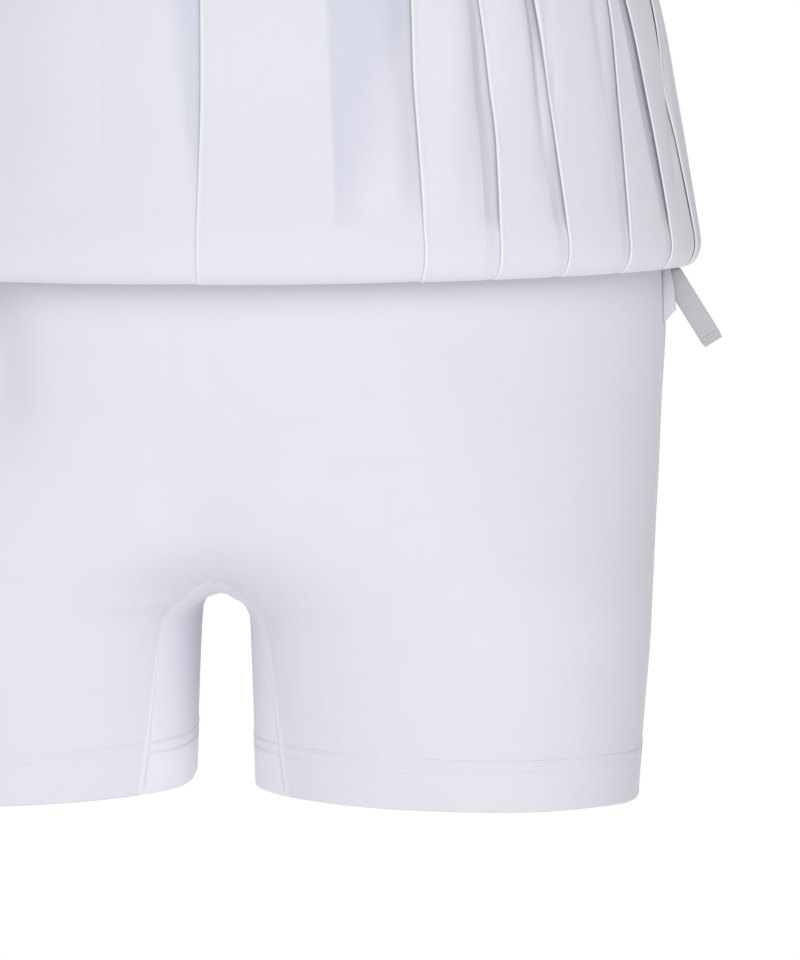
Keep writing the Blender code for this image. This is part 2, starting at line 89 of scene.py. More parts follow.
def smooth_step(value: float, start: float, end: float) -> float:
    """Rises softly from 0 at start to 1 at end; start may be the larger.

    Args:
        value: Where it is read.
        start: Where the rise begins.
        end: Where it is complete.

    Returns:
        A share from 0 to 1.
    """
    t = min(1.0, max(0.0, (value - start) / (end - start)))
    return t * t * (3.0 - 2.0 * t)


def bell(distance: float, width: float) -> float:
    """One at distance 0, fading to nearly nothing at width."""
    return math.exp(-2.5 * (distance / width) ** 2)


def signed_power(value: float, exponent: float) -> float:
    """Power of a value's size, with its sign kept."""
    return math.copysign(abs(value) ** exponent, value)


class HeightCurve:
    """A size by height: a smooth curve through a short table, which never overshoots."""

    def __init__(self, points: Sequence[tuple[float, float]]) -> None:
        """Prepares the curve.

        Args:
            points: Pairs of height and value, from the highest down.
        """
        self.heights = [height for height, _ in points]
        self.values = [value for _, value in points]
        pairs = range(len(points) - 1)
        self.spans = [self.heights[i + 1] - self.heights[i] for i in pairs]
        slopes = [(self.values[i + 1] - self.values[i]) / self.spans[i] for i in pairs]
        self.tangents = [slopes[0], *map(self._tangent, slopes, slopes[1:]), slopes[-1]]

    @staticmethod
    def _tangent(before: float, after: float) -> float:
        """Slope at a point of the table from the slopes on its two sides."""
        return 0.0 if before * after <= 0.0 else 2.0 * before * after / (before + after)

    def at(self, z: float) -> float:
        """Value at a height, held level past the table's ends."""
        if z >= self.heights[0]:
            return self.values[0]
        if z <= self.heights[-1]:
            return self.values[-1]
        k = next(i for i in range(len(self.spans)) if z >= self.heights[i + 1])
        t = (z - self.heights[k]) / self.spans[k]
        start = (1.0 + 2.0 * t) * (1.0 - t) ** 2 * self.values[k]
        start += t * (1.0 - t) ** 2 * self.spans[k] * self.tangents[k]
        end = t * t * (3.0 - 2.0 * t) * self.values[k + 1]
        end += t * t * (t - 1.0) * self.spans[k] * self.tangents[k + 1]
        return start + end


# ---------------------------------------------------------------- finishes
def srgb(code: str) -> tuple[float, float, float, float]:
    """Linear colour of a six-digit sRGB hex code."""
    channels = [int(code[i:i + 2], 16) / 255.0 for i in (0, 2, 4)]
    linear = [c / 12.92 if c <= 0.04045 else ((c + 0.055) / 1.055) ** 2.4 for c in channels]
    return (*linear, 1.0)


def add_node(
    tree: bpy.types.NodeTree,
    kind: str,
    settings: dict[str, object] | None = None,
    links: dict[str | int, object] | None = None,
) -> bpy.types.Node:
    """Adds a node with its settings and links.

    Args:
        tree: The node tree that it goes into.
        kind: Blender's name of the kind of node.
        settings: The node's own settings by name.
        links: By input name or number, either another node's output to link or a constant.

    Returns:
        The new node.
    """
    node = tree.nodes.new(kind)
    for name, value in (settings or {}).items():
        setattr(node, name, value)
    for name, value in (links or {}).items():
        if isinstance(value, bpy.types.NodeSocket):
            tree.links.new(value, node.inputs[name])
        else:
            node.inputs[name].default_value = value
    return node


@dataclass(frozen=True)
class ClothFinish:
    """A cloth's colour, gloss and two crossing thread systems, by their real spacing.

    The spacings are coarser than the real ones, 0.2 to 0.3 mm, which no picture of the whole
    garment would show.
    """

    name: str
    colour: str
    # the grey of painted shade, which the random mottle also mixes in a little, and the white of
    # painted highlight
    painted_shade_and_mottle_colour: str
    painted_light_colour: str
    roughness: float
    sheen: float
    sheen_roughness: float
    warp_spacing: float
    weft_spacing: float
    thread_relief: float
    slub: float
    slant: float

    def make(self) -> bpy.types.Material:
        """Builds the material on the piece's own cloth map, which is in metres of cloth.

        Returns:
            A Principled material with thread relief, slight unevenness, painted shade and painted
            highlight.
        """
        material = bpy.data.materials.new(self.name)
        material.use_nodes = True
        tree = material.node_tree
        shader = tree.nodes["Principled BSDF"]
        cloth_map = add_node(tree, "ShaderNodeUVMap", {"uv_map": CLOTH_UV}).outputs["UV"]
        turned = add_node(tree, "ShaderNodeMapping", {"vector_type": "POINT"}, {
            "Vector": cloth_map, "Rotation": (0.0, 0.0, math.radians(self.slant)),
        }).outputs["Vector"]
        warp = self._threads(tree, turned, "X", self.warp_spacing)
        weft = self._threads(tree, turned, "Y", self.weft_spacing)
        weave = add_node(tree, "ShaderNodeMath", {"operation": "MULTIPLY"}, {
            0: warp, 1: weft}).outputs[0]
        uneven = add_node(tree, "ShaderNodeTexNoise", {"noise_dimensions": "2D"}, {
            "Vector": cloth_map, "Scale": 1.0 / (self.slub * MM), "Detail": 3.0,
            "Roughness": 0.55}).outputs["Fac"]
        self._dye_and_paint_light(tree, shader, uneven)
        fine = add_node(tree, "ShaderNodeBump", None, {
            "Strength": 0.55, "Distance": self.thread_relief * MM, "Height": weave})
        broad = add_node(tree, "ShaderNodeBump", None, {
            "Strength": 0.35, "Distance": 0.25 * MM, "Height": uneven,
            "Normal": fine.outputs["Normal"]})
        tree.links.new(broad.outputs["Normal"], shader.inputs["Normal"])
        shader.inputs["Roughness"].default_value = self.roughness
        shader.inputs["Sheen Weight"].default_value = self.sheen
        shader.inputs["Sheen Roughness"].default_value = self.sheen_roughness
        shader.inputs["Specular IOR Level"].default_value = 0.3
        return material

    @staticmethod
    def _threads(
        tree: bpy.types.NodeTree, where: bpy.types.NodeSocket, across: str, spacing: float,
    ) -> bpy.types.NodeSocket:
        """Rounded parallel threads, one every spacing millimetres along an axis."""
        return add_node(tree, "ShaderNodeTexWave", {"bands_direction": across}, {
            "Vector": where, "Scale": math.pi / (10.0 * spacing * MM), "Distortion": 0.6,
            "Detail": 1.0, "Detail Scale": 0.4}).outputs["Fac"]

    def _dye_and_paint_light(
        self, tree: bpy.types.NodeTree, shader: bpy.types.Node, uneven: bpy.types.NodeSocket,
    ) -> None:
        """Colours the cloth: whiter by its painted highlight, greyer by its painted shade and a
        faint mottle.
        """
        # The first attribute is the painted shade of each point, the second its painted highlight.
        show, pressed = (
            add_node(tree, "ShaderNodeAttribute", {
                "attribute_name": name, "attribute_type": "GEOMETRY"}).outputs["Fac"]
            for name in (PAINTED_SHADE, PAINTED_LIGHT))
        mottle = add_node(tree, "ShaderNodeMapRange", None, {
            "Value": uneven, "From Min": 0.3, "From Max": 0.7, "To Min": -0.06, "To Max": 0.06})
        # The random mottle and the painted shade both mix the colour towards the grey.
        total = add_node(tree, "ShaderNodeMath", {"operation": "ADD", "use_clamp": True}, {
            0: show, 1: mottle.outputs["Result"]}).outputs[0]
        painted_shade_mix = add_node(tree, "ShaderNodeMix", {"data_type": "RGBA"})
        painted_light_mix = add_node(tree, "ShaderNodeMix", {"data_type": "RGBA"})
        for mix, colour in ((painted_shade_mix, self.painted_shade_and_mottle_colour), (painted_light_mix, self.painted_light_colour)):
            mix.inputs[6].default_value = srgb(self.colour)
            mix.inputs[7].default_value = srgb(colour)
        tree.links.new(total, painted_shade_mix.inputs[0])
        # Then the painted highlight mixes it towards white.
        tree.links.new(pressed, painted_light_mix.inputs[0])
        tree.links.new(painted_shade_mix.outputs[2], painted_light_mix.inputs[6])
        tree.links.new(painted_light_mix.outputs[2], shader.inputs["Base Color"])


class Finishes:
    """Every finish of the garment, made once."""

    def __init__(self) -> None:
        """Makes the materials."""
        # Polyester and elastane, plain woven and pressed: matt, very smooth, faintly bluish.
        self.woven = ClothFinish(
            "woven_polyester_stretch", "E1E1E8", "D4D5E1", "ECECF0", 0.62, 0.10, 0.4,
            0.42, 0.36, 0.022, 9.0, 0.0).make()
        # Fine circular-knitted jersey: a little softer and more even than the woven cloth.
        self.jersey = ClothFinish(
            "knitted_jersey", "E1E1E9", "CFD2DF", "EEEEF4", 0.66, 0.12, 0.45,
            0.46, 0.38, 0.026, 14.0, 0.0).make()
        # One layer of the same jersey, darker and greyer: painted shade for the tab and the tape's
        # tack, which hang in the shade below the fold.
        self.single_jersey_painted_shade = ClothFinish(
            "single_jersey_painted_shade", "D6D6E0", "C6C7D4", "E2E2EA", 0.66, 0.12, 0.45,
            0.46, 0.38, 0.026, 5.0, 0.0).make()
        # Spun polyester thread: whiter than the cloth, with a slight gloss.
        self.thread = ClothFinish(
            "polyester_thread", "E8E8EF", "DEDEE8", "F0F0F4", 0.45, 0.1, 0.3,
            0.30, 0.30, 0.02, 4.0, 35.0).make()
        # Narrow satin-woven tape: grey, with a soft gloss along its ribs.
        self.tape = ClothFinish(
            "satin_woven_tape", "BCBCC0", "A8A8AD", "CCCCD0", 0.42, 0.2, 0.3,
            0.55, 0.30, 0.05, 3.0, 0.0).make()


# ---------------------------------------------------------------- making meshes
Place = Callable[[int, int], Vector]


def cloth_grid(columns: int, rows: int, place: Place) -> bmesh.types.BMesh:
    """A flat grid of cloth laid into shape.

    Args:
        columns: Faces across, counted towards the wearer's left at the front.
        rows: Faces down.
        place: Gives the point in millimetres of a column and row, both counted from 0.

    Returns:
        The shaped grid, in metres, whose faces point out of the garment.
    """
    bm = bmesh.new()
    bmesh.ops.create_grid(bm, x_segments=columns, y_segments=rows, size=0.5)
    column_layer = bm.verts.layers.int.new("column")
    row_layer = bm.verts.layers.int.new("row")
    for vert in bm.verts:
        column = round((vert.co.x + 0.5) * columns)
        row = round((0.5 - vert.co.y) * rows)
        vert[column_layer] = column
        vert[row_layer] = row
        vert.co = place(column, row) * MM
    return bm


def lay_cloth_map(
    bm: bmesh.types.BMesh, along: Sequence[float], down: Sequence[float],
) -> None:
    """Gives a grid its cloth map, in metres of flat cloth.

    Args:
        bm: A mesh from cloth_grid.
        along: Distance of each column from the first, in millimetres of cloth.
        down: Distance of each row from the first, in millimetres of cloth.
    """
    layer = bm.loops.layers.uv.new(CLOTH_UV)
    column_layer = bm.verts.layers.int["column"]
    row_layer = bm.verts.layers.int["row"]
    for face in bm.faces:
        for loop in face.loops:
            u = along[loop.vert[column_layer]] * MM
            v = -down[loop.vert[row_layer]] * MM
            loop[layer].uv = (u, v)


def set_attributes(
    bm: bmesh.types.BMesh, values: Callable[[int, int], Sequence[float]],
) -> None:
    """Stores each point's share of painted shade and of painted highlight, on a grid of cloth.

    Args:
        bm: A mesh from cloth_grid.
        values: Gives the two shares of a column and row.
    """
    layers = [bm.verts.layers.float.new(name) for name in (PAINTED_SHADE, PAINTED_LIGHT)]
    column_layer, row_layer = (bm.verts.layers.int[name] for name in ("column", "row"))
    for vert in bm.verts:
        for layer, value in zip(layers, values(vert[column_layer], vert[row_layer])):
            vert[layer] = value


def finish_piece(
    bm: bmesh.types.BMesh, name: str, material: bpy.types.Material,
) -> bpy.types.Object:
    """Turns a finished bmesh into a smooth object at the origin.

    Args:
        bm: The mesh in metres; it is freed.
        name: The piece's name.
        material: Its finish.

    Returns:
        The new object.
    """
    for layer in [bm.verts.layers.int.get(name) for name in ("column", "row")]:
        if layer is not None:
            bm.verts.layers.int.remove(layer)
    mesh = bpy.data.meshes.new(name)
    bm.to_mesh(mesh)
    bm.free()
    mesh.materials.append(material)
    mesh.shade_smooth()
    piece = bpy.data.objects.new(name, mesh)
    bpy.context.scene.collection.objects.link(piece)
    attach(piece, BODY)
    return piece


def thicken(piece: bpy.types.Object, wall: float) -> None:
    """Gives cloth its thickness, half to each side.

    Args:
        piece: A single layer of cloth.
        wall: Thickness in millimetres.
    """
    solid = piece.modifiers.new("cloth_wall", "SOLIDIFY")
    solid.thickness = wall * MM
    solid.offset = 0.0
    solid.use_rim = True


class Stitch(NamedTuple):
    """One stitch: the middle of its thread, its direction and the cloth's outward direction."""

    middle: Vector
    along: Vector
    outward: Vector


@dataclass(frozen=True)
class StitchSize:
    """Length, width and height in millimetres of a stitch, its slant and its fineness."""

    length: float
    width: float
    height: float
    slant: float = 0.0
    halvings: int = 1


def sew(
    stitches: Iterable[Stitch], size: StitchSize, name: str, material: bpy.types.Material,
) -> bpy.types.Object:
    """Joins one small rounded thread for each stitch into a piece.

    Args:
        stitches: Where the stitches lie.
        size: The thread's size.
        name: The piece's name.
        material: The thread's finish.

    Returns:
        The piece.
    """
    bm = bmesh.new()
    layer = bm.loops.layers.uv.new(CLOTH_UV)
    for middle, along, outward in stitches:
        across = outward.cross(along).normalized()
        axis = (along + across * math.tan(math.radians(size.slant))).normalized()
        side = outward.cross(axis).normalized()
        frame = Matrix((
            axis * size.length / 2.0, side * size.width / 2.0, outward * size.height / 2.0,
        )).transposed().to_4x4()
        frame.translation = middle
        made = bmesh.ops.create_icosphere(
            bm, subdivisions=size.halvings, radius=1.0, matrix=Matrix.Scale(MM, 4) @ frame)
        for vert in made["verts"]:
            away = vert.co - middle * MM
            for loop in vert.link_loops:
                loop[layer].uv = (away.dot(axis), away.dot(side))
    return finish_piece(bm, name, material)


# ---------------------------------------------------------------- skirt: tables
class Section(NamedTuple):
    """Outline of the skirt's outer face at a height."""

    z: float
    half_width: float
    front: float
    back: float


class EdgeForm(NamedTuple):
    """How a pleat edge hangs, at three heights: stands off, sways, and the hollow beside it."""

    lift: tuple[float, float, float]
    sway: tuple[float, float, float]
    hollow: tuple[float, float, float] = (0.3, 0.6, 0.2)
    hollow_width: float = 5.0


class Pleat(NamedTuple):
    """A knife pleat: its edge, the width of its underlay, and its form."""

    edge: float
    underlay: float
    wide: bool
    form: EdgeForm


class Crease(NamedTuple):
    """A soft trough (depth below 0) or ridge on a slanting line down the cloth."""

    angle_top: float
    z_top: float
    angle_low: float
    z_low: float
    width: float
    depth: float


class Zone(Enum):
    """Stretches of one pleat's cloth, in the order in which the line of cloth passes them."""

    INNER_FOLD = "inner fold"
    UNDERLAY = "underlay"
    EDGE_FOLD = "edge fold"
    FACE = "face"
    DROP = "drop"
    LAP = "lap"


class Station(NamedTuple):
    """A column of the cloth: its pleat, zone, and place along the zone."""

    pleat: int
    zone: Zone
    share: float
    near: float = 0.0


class RowKind(Enum):
    """Where a row of the skirt's cloth lies."""

    SHELL = "shell"
    FOLD = "fold"
    INSIDE = "inside"


class Row(NamedTuple):
    """A level line of cloth: a share of the shell's or the tucked part's height, or a turn."""

    kind: RowKind
    value: float


FORM_HEIGHTS = (-60.0, -112.0, -162.0)   # the three heights that an EdgeForm speaks of
PLAIN_FORM = EdgeForm((0.1, 0.5, 0.2), (0.0, 0.0, 0.0), (0.1, 0.5, 0.3), 4.0)
WIDE_RIGHT_FORM = EdgeForm((0.0, 0.1, 0.0), (0.0, 0.2, 0.0), (1.0, 0.2, 0.0), 12.0)
CENTRE_FORM = EdgeForm((0.1, 0.2, 0.1), (0.8, 1.0, 0.6), (1.1, 0.5, 0.1), 12.0)
HIP_FORMS = (
    EdgeForm((0.0, 0.1, 0.0), (0.4, -0.6, -0.6), (1.2, 1.2, 0.5), 9.0),
    EdgeForm((0.0, 0.1, 0.1), (-1.4, -0.9, -1.8), (0.3, 1.5, 2.0), 8.0),
    EdgeForm((0.1, 0.1, 0.1), (-3.3, -3.0, -2.6), (2.0, 1.1, 1.6), 7.0),
    EdgeForm((0.0, 0.1, 0.0), (1.4, -0.2, -2.2), (0.4, 0.8, 0.5), 7.0),
    EdgeForm((0.4, 0.9, 0.2), (-5.6, -3.6, -2.2), (0.4, 0.9, 0.5), 6.0),
    EdgeForm((0.0, 0.0, 0.1), (-3.4, -4.2, -1.6), (0.0, 0.0, 0.1), 6.0),
    EdgeForm((0.3, 0.7, 0.2), (-1.0, -1.5, 0.0), (0.4, 0.8, 0.3), 7.0),
    EdgeForm((0.1, 0.4, 0.5), (-0.6, 0.0, 0.0), (0.2, 0.6, 0.9), 7.0),
    EdgeForm((0.3, 0.5, 0.2), (0.8, -0.4, 0.0), (0.6, 0.8, 0.2), 8.0),
)
BACK_FORMS_FROM = 4
# How far across a panel its single cloth gets painted shade, and how wide the painted-shade wedge
# is beside the centre pleat, both as shares of the panel by height.
PAINTED_SHADE_LIMIT = HeightCurve([
    (-60.0, 1.3), (-83.0, 1.1), (-97.0, 0.7), (-110.0, 0.45), (-128.0, 0.3), (-145.0, 0.05),
    (-159.0, -0.15), (-168.0, -0.6)])
PAINTED_SHADE_WEDGE = HeightCurve([
    (-55.0, 0.5), (-76.0, 0.42), (-100.0, 0.28), (-125.0, 0.14), (-142.0, 0.02), (-150.0, 0.001)])


# ---------------------------------------------------------------- skirt: its form
@dataclass
class SkirtForm:
    """The skirt's shape: outline, pleats and soft fold, as in the frame's solids."""

    cloth_top: float = -38.35
    fold_bottom_side: float = -172.0
    fold_bottom_front: float = -174.7
    fold_radius_side: float = 5.8
    fold_radius_front: float = 7.8
    fold_reach_side: float = 12.0   # height over which the face turns into the fold
    fold_reach_front: float = 19.0
    fold_step: float = 0.3          # share of the layers' depth that is left at its bottom
    tucked_hem: float = -62.0
    tucked_depth: float = 9.4
    wall: float = 0.32
    layer: float = 0.46         # from one layer of a pleat to the next
    waist_layer: float = 0.4    # the same at the waist seam, where they are sewn flat
    edge_layer: float = 0.37    # and at a pleat's stitched edge
    wide_pitch: float = 28.0
    wide_underlay: float = 16.4
    narrow_per_hip: int = 11
    narrow_underlay: float = 7.6
    front_hip_pleats: int = 6
    panel_dip: float = 0.7
    least_drop: float = 2.2     # degrees from an inner fold to the next pleat's edge
    wide_lift_reach: float = 15.0
    sections: tuple[Section, ...] = (
        Section(-38.35, 142.5, 106.5, 110.0),
        Section(-55.0, 150.0, 111.5, 116.5),
        Section(-76.0, 158.0, 117.0, 124.0),
        Section(-112.0, 164.7, 121.5, 130.5),
        Section(-142.0, 170.2, 125.5, 135.0),
        Section(-166.0, 174.3, 128.0, 138.0),
    )
    creases: tuple[Crease, ...] = (
        Crease(47.9, -50.0, 44.3, -165.4, 4.1, -0.99),
        Crease(49.4, -49.9, 47.7, -128.1, 3.6, -0.75),
        Crease(48.7, -49.9, 46.3, -142.2, 2.8, 0.58),
        Crease(60.4, -49.4, 56.8, -168.3, 4.7, -1.04),
        Crease(64.2, -49.2, 57.0, -146.2, 7.0, 0.87),
        Crease(35.2, -54.0, 29.9, -166.7, 13.0, 2.75),
        Crease(38.4, -57.4, 37.1, -127.9, 9.0, -1.78),
        Crease(87.4, -51.6, 73.8, -156.2, 5.5, -1.16),
        Crease(22.6, -54.3, 23.9, -162.3, 14.0, 1.78),
        Crease(-13.2, -54.5, -10.2, -155.1, 2.8, -0.29),
        Crease(-18.9, -54.4, -17.9, -158.7, 26.0, 1.13),
        Crease(6.9, -89.4, 8.0, -166.1, 22.0, -0.65),
        # the like on the sides that the photograph hides
        Crease(96.0, -50.0, 99.0, -168.0, 5.5, -1.10),
        Crease(107.0, -58.0, 104.0, -160.0, 7.0, 0.99),
        Crease(118.5, -44.0, 120.0, -150.0, 4.1, -0.87),
        Crease(131.0, -62.0, 134.0, -166.0, 8.0, 1.15),
        Crease(141.5, -48.0, 143.5, -140.0, 4.4, -0.82),
        Crease(163.0, -56.0, 160.0, -162.0, 15.0, 1.94),
        Crease(196.0, -60.0, 192.0, -158.0, 16.0, -1.46),
        Crease(214.0, -46.0, 217.0, -164.0, 8.0, 1.78),
        Crease(226.0, -60.0, 229.0, -150.0, 4.4, -0.92),
        Crease(243.0, -50.0, 246.0, -166.0, 8.3, -1.21),
        Crease(259.0, -56.0, 257.0, -158.0, 5.5, 0.99),
        Crease(-92.0, -50.0, -95.0, -166.0, 6.4, -1.16),
        Crease(-78.0, -60.0, -80.0, -150.0, 4.7, 0.87),
        Crease(-69.0, -46.0, -66.0, -162.0, 9.0, -1.27),
        Crease(-55.0, -58.0, -57.0, -166.0, 4.4, -0.99),
        Crease(-44.0, -50.0, -42.0, -140.0, 9.0, 1.94),
    )
    pleats: list[Pleat] = field(default_factory=list)

    def __post_init__(self) -> None:
        """Prepares the outline's curves and the pleats round the waist."""
        self.half_width = HeightCurve([(s.z, s.half_width) for s in self.sections])
        self.front = HeightCurve([(s.z, s.front) for s in self.sections])
        self.back = HeightCurve([(s.z, s.back) for s in self.sections])
        pitch = (180.0 - 2.0 * self.wide_pitch) / self.narrow_per_hip
        for half in (0.0, 180.0):
            for edge, form in ((-self.wide_pitch, WIDE_RIGHT_FORM), (0.0, CENTRE_FORM)):
                self.pleats.append(Pleat(half + edge, self.wide_underlay, True, form))
            for k in range(self.narrow_per_hip):
                like = k if half == 0.0 else (k + BACK_FORMS_FROM) % self.narrow_per_hip
                form = HIP_FORMS[like] if like < len(HIP_FORMS) else PLAIN_FORM
                edge = half + self.wide_pitch + k * pitch
                self.pleats.append(Pleat(edge, self.narrow_underlay, False, form))
        self.form_curves = {
            form: tuple(
                HeightCurve(list(zip(FORM_HEIGHTS, values)))
                for values in (form.lift, form.sway, form.hollow))
            for form in {pleat.form for pleat in self.pleats}
        }

    def pleat(self, number: int) -> Pleat:
        """Pleat by its number, which may run on past the last or below the first."""
        turns, index = divmod(number, len(self.pleats))
        found = self.pleats[index]
        return found._replace(edge=found.edge + 360.0 * turns)

    def ring(self, angle: float, z: float, outward: float) -> Vector:
        """A point beside the outer face, moved level along its normal.

        Args:
            angle: Place round the waist in degrees.
            z: Height.
            outward: Distance out from the face.

        Returns:
            The point in millimetres.
        """
        t = math.radians(angle)
        half_width = self.half_width.at(z)
        depth = (self.front if math.cos(t) > 0.0 else self.back).at(z)
        normal = Vector((math.sin(t) / half_width, -math.cos(t) / depth, 0.0)).normalized()
        return Vector((half_width * math.sin(t), -depth * math.cos(t), z)) + normal * outward

    def mm_per_degree(self, angle: float, z: float) -> float:
        """Width of cloth that one degree spans."""
        t = math.radians(angle)
        half_width = self.half_width.at(z)
        depth = (self.front if math.cos(t) > 0.0 else self.back).at(z)
        return math.radians(1.0) * math.hypot(half_width * math.cos(t), depth * math.sin(t))

    def fold_size(self, angle: float) -> tuple[float, float, float]:
        """Half-width of the soft fold, height over which the face turns in, and its bottom."""
        share = math.cos(math.radians(angle)) ** 2
        return (
            blend(self.fold_radius_side, self.fold_radius_front, share),
            blend(self.fold_reach_side, self.fold_reach_front, share),
            blend(self.fold_bottom_side, self.fold_bottom_front, share),
        )

    def point(self, row: Row, angle: float, depth: float) -> Vector:
        """A point of the cloth.

        Args:
            row: The level line that it lies on.
            angle: Place round the waist in degrees.
            depth: Distance out from the outer face; below 0 is further in.

        Returns:
            The point in millimetres.
        """
        radius, reach, bottom = self.fold_size(angle)
        if row.kind is RowKind.SHELL:
            z = blend(self.cloth_top, bottom + reach, row.value)
            return self.ring(angle, z, depth)
        if row.kind is RowKind.FOLD:
            turn = math.radians(row.value)
            height = reach if turn < math.pi / 2.0 else radius
            out = -radius + (radius + depth) * math.cos(turn)
            down = bottom + height - (height + depth * self.fold_step) * math.sin(turn)
            return self.ring(angle, down, out)
        start = bottom + radius
        z = blend(start, self.tucked_hem, row.value)
        tucked = blend(2.0 * radius, self.tucked_depth, row.value)
        return self.ring(angle, z, -tucked - depth)

    def crease_depth(self, angle: float, z: float) -> float:
        """How far the listed creases move the cloth out at a place."""
        total = 0.0
        for crease in self.creases:
            if not crease.z_low < z < crease.z_top:
                continue
            down = (crease.z_top - z) / (crease.z_top - crease.z_low)
            away = angle - blend(crease.angle_top, crease.angle_low, down)
            away = (away + 180.0) % 360.0 - 180.0
            if abs(away) > 20.0:
                continue
            ends = smooth_step(down, 0.0, 0.3) * smooth_step(down, 1.0, 0.7)
            away *= self.mm_per_degree(angle, z)
            total += crease.depth * ends * bell(away, crease.width)
        return total


@dataclass
class SkirtLine:
    """The folded line of cloth at one height, worked out station by station."""

    form: SkirtForm
    row: Row

    def __post_init__(self) -> None:
        """Reads what is the same all along the line."""
        shell = self.row.kind is RowKind.SHELL
        low = self.form.fold_bottom_side
        self.z = blend(self.form.cloth_top, low + self.form.fold_reach_side,
                       self.row.value) if shell else low
        self.fade = smooth_step(self.z, low + self.form.fold_reach_side, -152.0) if shell else 0.0
        flat = smooth_step(self.z, self.form.cloth_top, self.form.cloth_top - 7.0)
        self.layer = blend(self.form.waist_layer, self.form.layer, flat)
        self.edge_layer = min(self.layer, self.form.edge_layer)
        self.known: dict[int, tuple[float, float, float, float, float]] = {}

    def pleat_values(self, number: int) -> tuple[float, float, float, float, float]:
        """Edge angle, inner fold angle, lift, hollow and hollow width of a pleat here."""
        if number not in self.known:
            pleat, after = self.form.pleat(number), self.form.pleat(number + 1)
            lift, sway, hollow = (curve.at(self.z) for curve in self.form.form_curves[pleat.form])
            next_edge = after.edge + self.form.form_curves[after.form][1].at(self.z)
            inner = min(pleat.edge + pleat.underlay, next_edge - self.form.least_drop)
            self.known[number] = (
                pleat.edge + sway, inner, lift * self.fade, hollow * self.fade,
                pleat.form.hollow_width)
        return self.known[number]

    def lifted(self, pleat: Pleat, lift: float, distance: float, width: float) -> float:
        """How far the lip of a pleat stands off at a distance from its edge."""
        reach = self.form.wide_lift_reach if pleat.wide else width
        return lift * (1.0 - smooth_step(distance, -0.25 * reach, reach)) * 1.12

    def place(self, station: Station) -> tuple[float, float, float, float]:
        """Works out one station of the line.

        Args:
            station: The column of cloth.

        Returns:
            Its angle, its depth from the outer face, its share of painted shade, and its share of
            painted highlight.
        """
        number, zone, share, near = station
        pleat = self.form.pleat(number)
        edge, inner, lift, _, _ = self.pleat_values(number)
        next_edge, next_inner, _, hollow, hollow_width = self.pleat_values(number + 1)
        scale = self.form.mm_per_degree(edge, self.z)
        half_wall = self.form.wall / 2.0
        width = (inner - edge) * scale
        # show is the station's painted shade, the second share its painted highlight.
        show = pressed = 0.0
        if zone is Zone.INNER_FOLD:
            turn = math.pi * (share - 0.5)
            angle = inner + self.layer / 2.0 * math.cos(turn) / scale
            depth = -half_wall - self.layer * (1.5 - math.sin(turn) / 2.0)
        elif zone is Zone.UNDERLAY:
            distance = width * (1.0 - share)
            tight = smooth_step(distance, 1.0, 8.0)
            angle = edge + distance / scale
            depth = -half_wall - blend(self.edge_layer, self.layer, tight)
            depth += self.lifted(pleat, lift, distance, width)
        elif zone is Zone.EDGE_FOLD:
            turn = math.pi * (share - 0.5)
            radius = self.edge_layer / 2.0
            angle = edge + (radius - half_wall - radius * math.cos(turn)) / scale
            depth = -half_wall - radius + radius * math.sin(turn)
            depth += self.lifted(pleat, lift, 0.0, width)
            # Painted highlight along the rounded edge of the pleat.
            pressed = smooth_step(share, 0.35, 0.7)
        elif zone is Zone.FACE:
            distance = near + (width - near) * share
            angle = edge + distance / scale
            depth = -half_wall + self.lifted(pleat, lift, distance, width)
            depth -= 0.09 * bell(distance - 1.7, 0.7) - 0.05 * bell(distance - 0.6, 0.7)
            # Painted highlight also on the face just beside the edge.
            pressed = smooth_step(distance, 0.75, 0.3)
        elif zone is Zone.DROP:
            end = next_edge - self.form.panel_dip
            span = (end - inner) * scale
            angle = blend(inner, end, share)
            distance = span * share
            step = 0.12 * (1.0 - bell(distance, 3.0))
            slope = 0.88 * share ** (1.5 if pleat.wide else 1.2)
            depth = -half_wall - 2.0 * self.layer * (step + slope)
            depth -= hollow * smooth_step(span - distance, hollow_width, 0.0)
            # Painted shade on the single cloth, which stands off the layers behind it.
            show = self.painted_shade_mix(pleat, share)
        else:
            start = next_edge - self.form.panel_dip
            angle = blend(start, next_inner, share)
            depth = -half_wall - 2.0 * self.layer
            depth -= hollow * (1.0 - smooth_step(share, 0.0, 0.9))
            # Painted shade fading out over the lap.
            show = self.painted_shade_mix(pleat, 1.0) * (1.0 - share)
        return angle, depth + self.form.crease_depth(angle, self.z) * self.fade, show, pressed

    def painted_shade_mix(self, pleat: Pleat, share: float) -> float:
        """How much painted shade the single cloth between two pleats gets, dark as the gap behind
        it.

        On the wearer's left it is strongest near the waist and beside the inner fold, and fades
        further down, where the cloth comes to lie on the tucked layer behind it.  On the right
        of the centre pleat only a wedge beside the pleat's edge gets it.

        Args:
            pleat: The pleat whose cloth it is.
            share: Place from the inner fold (0) to the next pleat (1).

        Returns:
            A share from 0 to 1.
        """
        if pleat.form is WIDE_RIGHT_FORM:
            wedge = PAINTED_SHADE_WEDGE.at(self.z)
            return smooth_step(share, 1.0 - wedge, 1.0 - 0.25 * wedge) * min(1.0, wedge * 8.0)
        limit = PAINTED_SHADE_LIMIT.at(self.z)
        across = smooth_step(share, 0.0, 0.05)
        across *= 1.0 - smooth_step(share, limit - 0.2, limit + 0.55)
        beside = 0.5 * smooth_step(share, 0.78, 0.95) * smooth_step(self.z, -158.0, -140.0)
        return max(across, beside) if pleat.wide else 0.45 * max(across, beside)


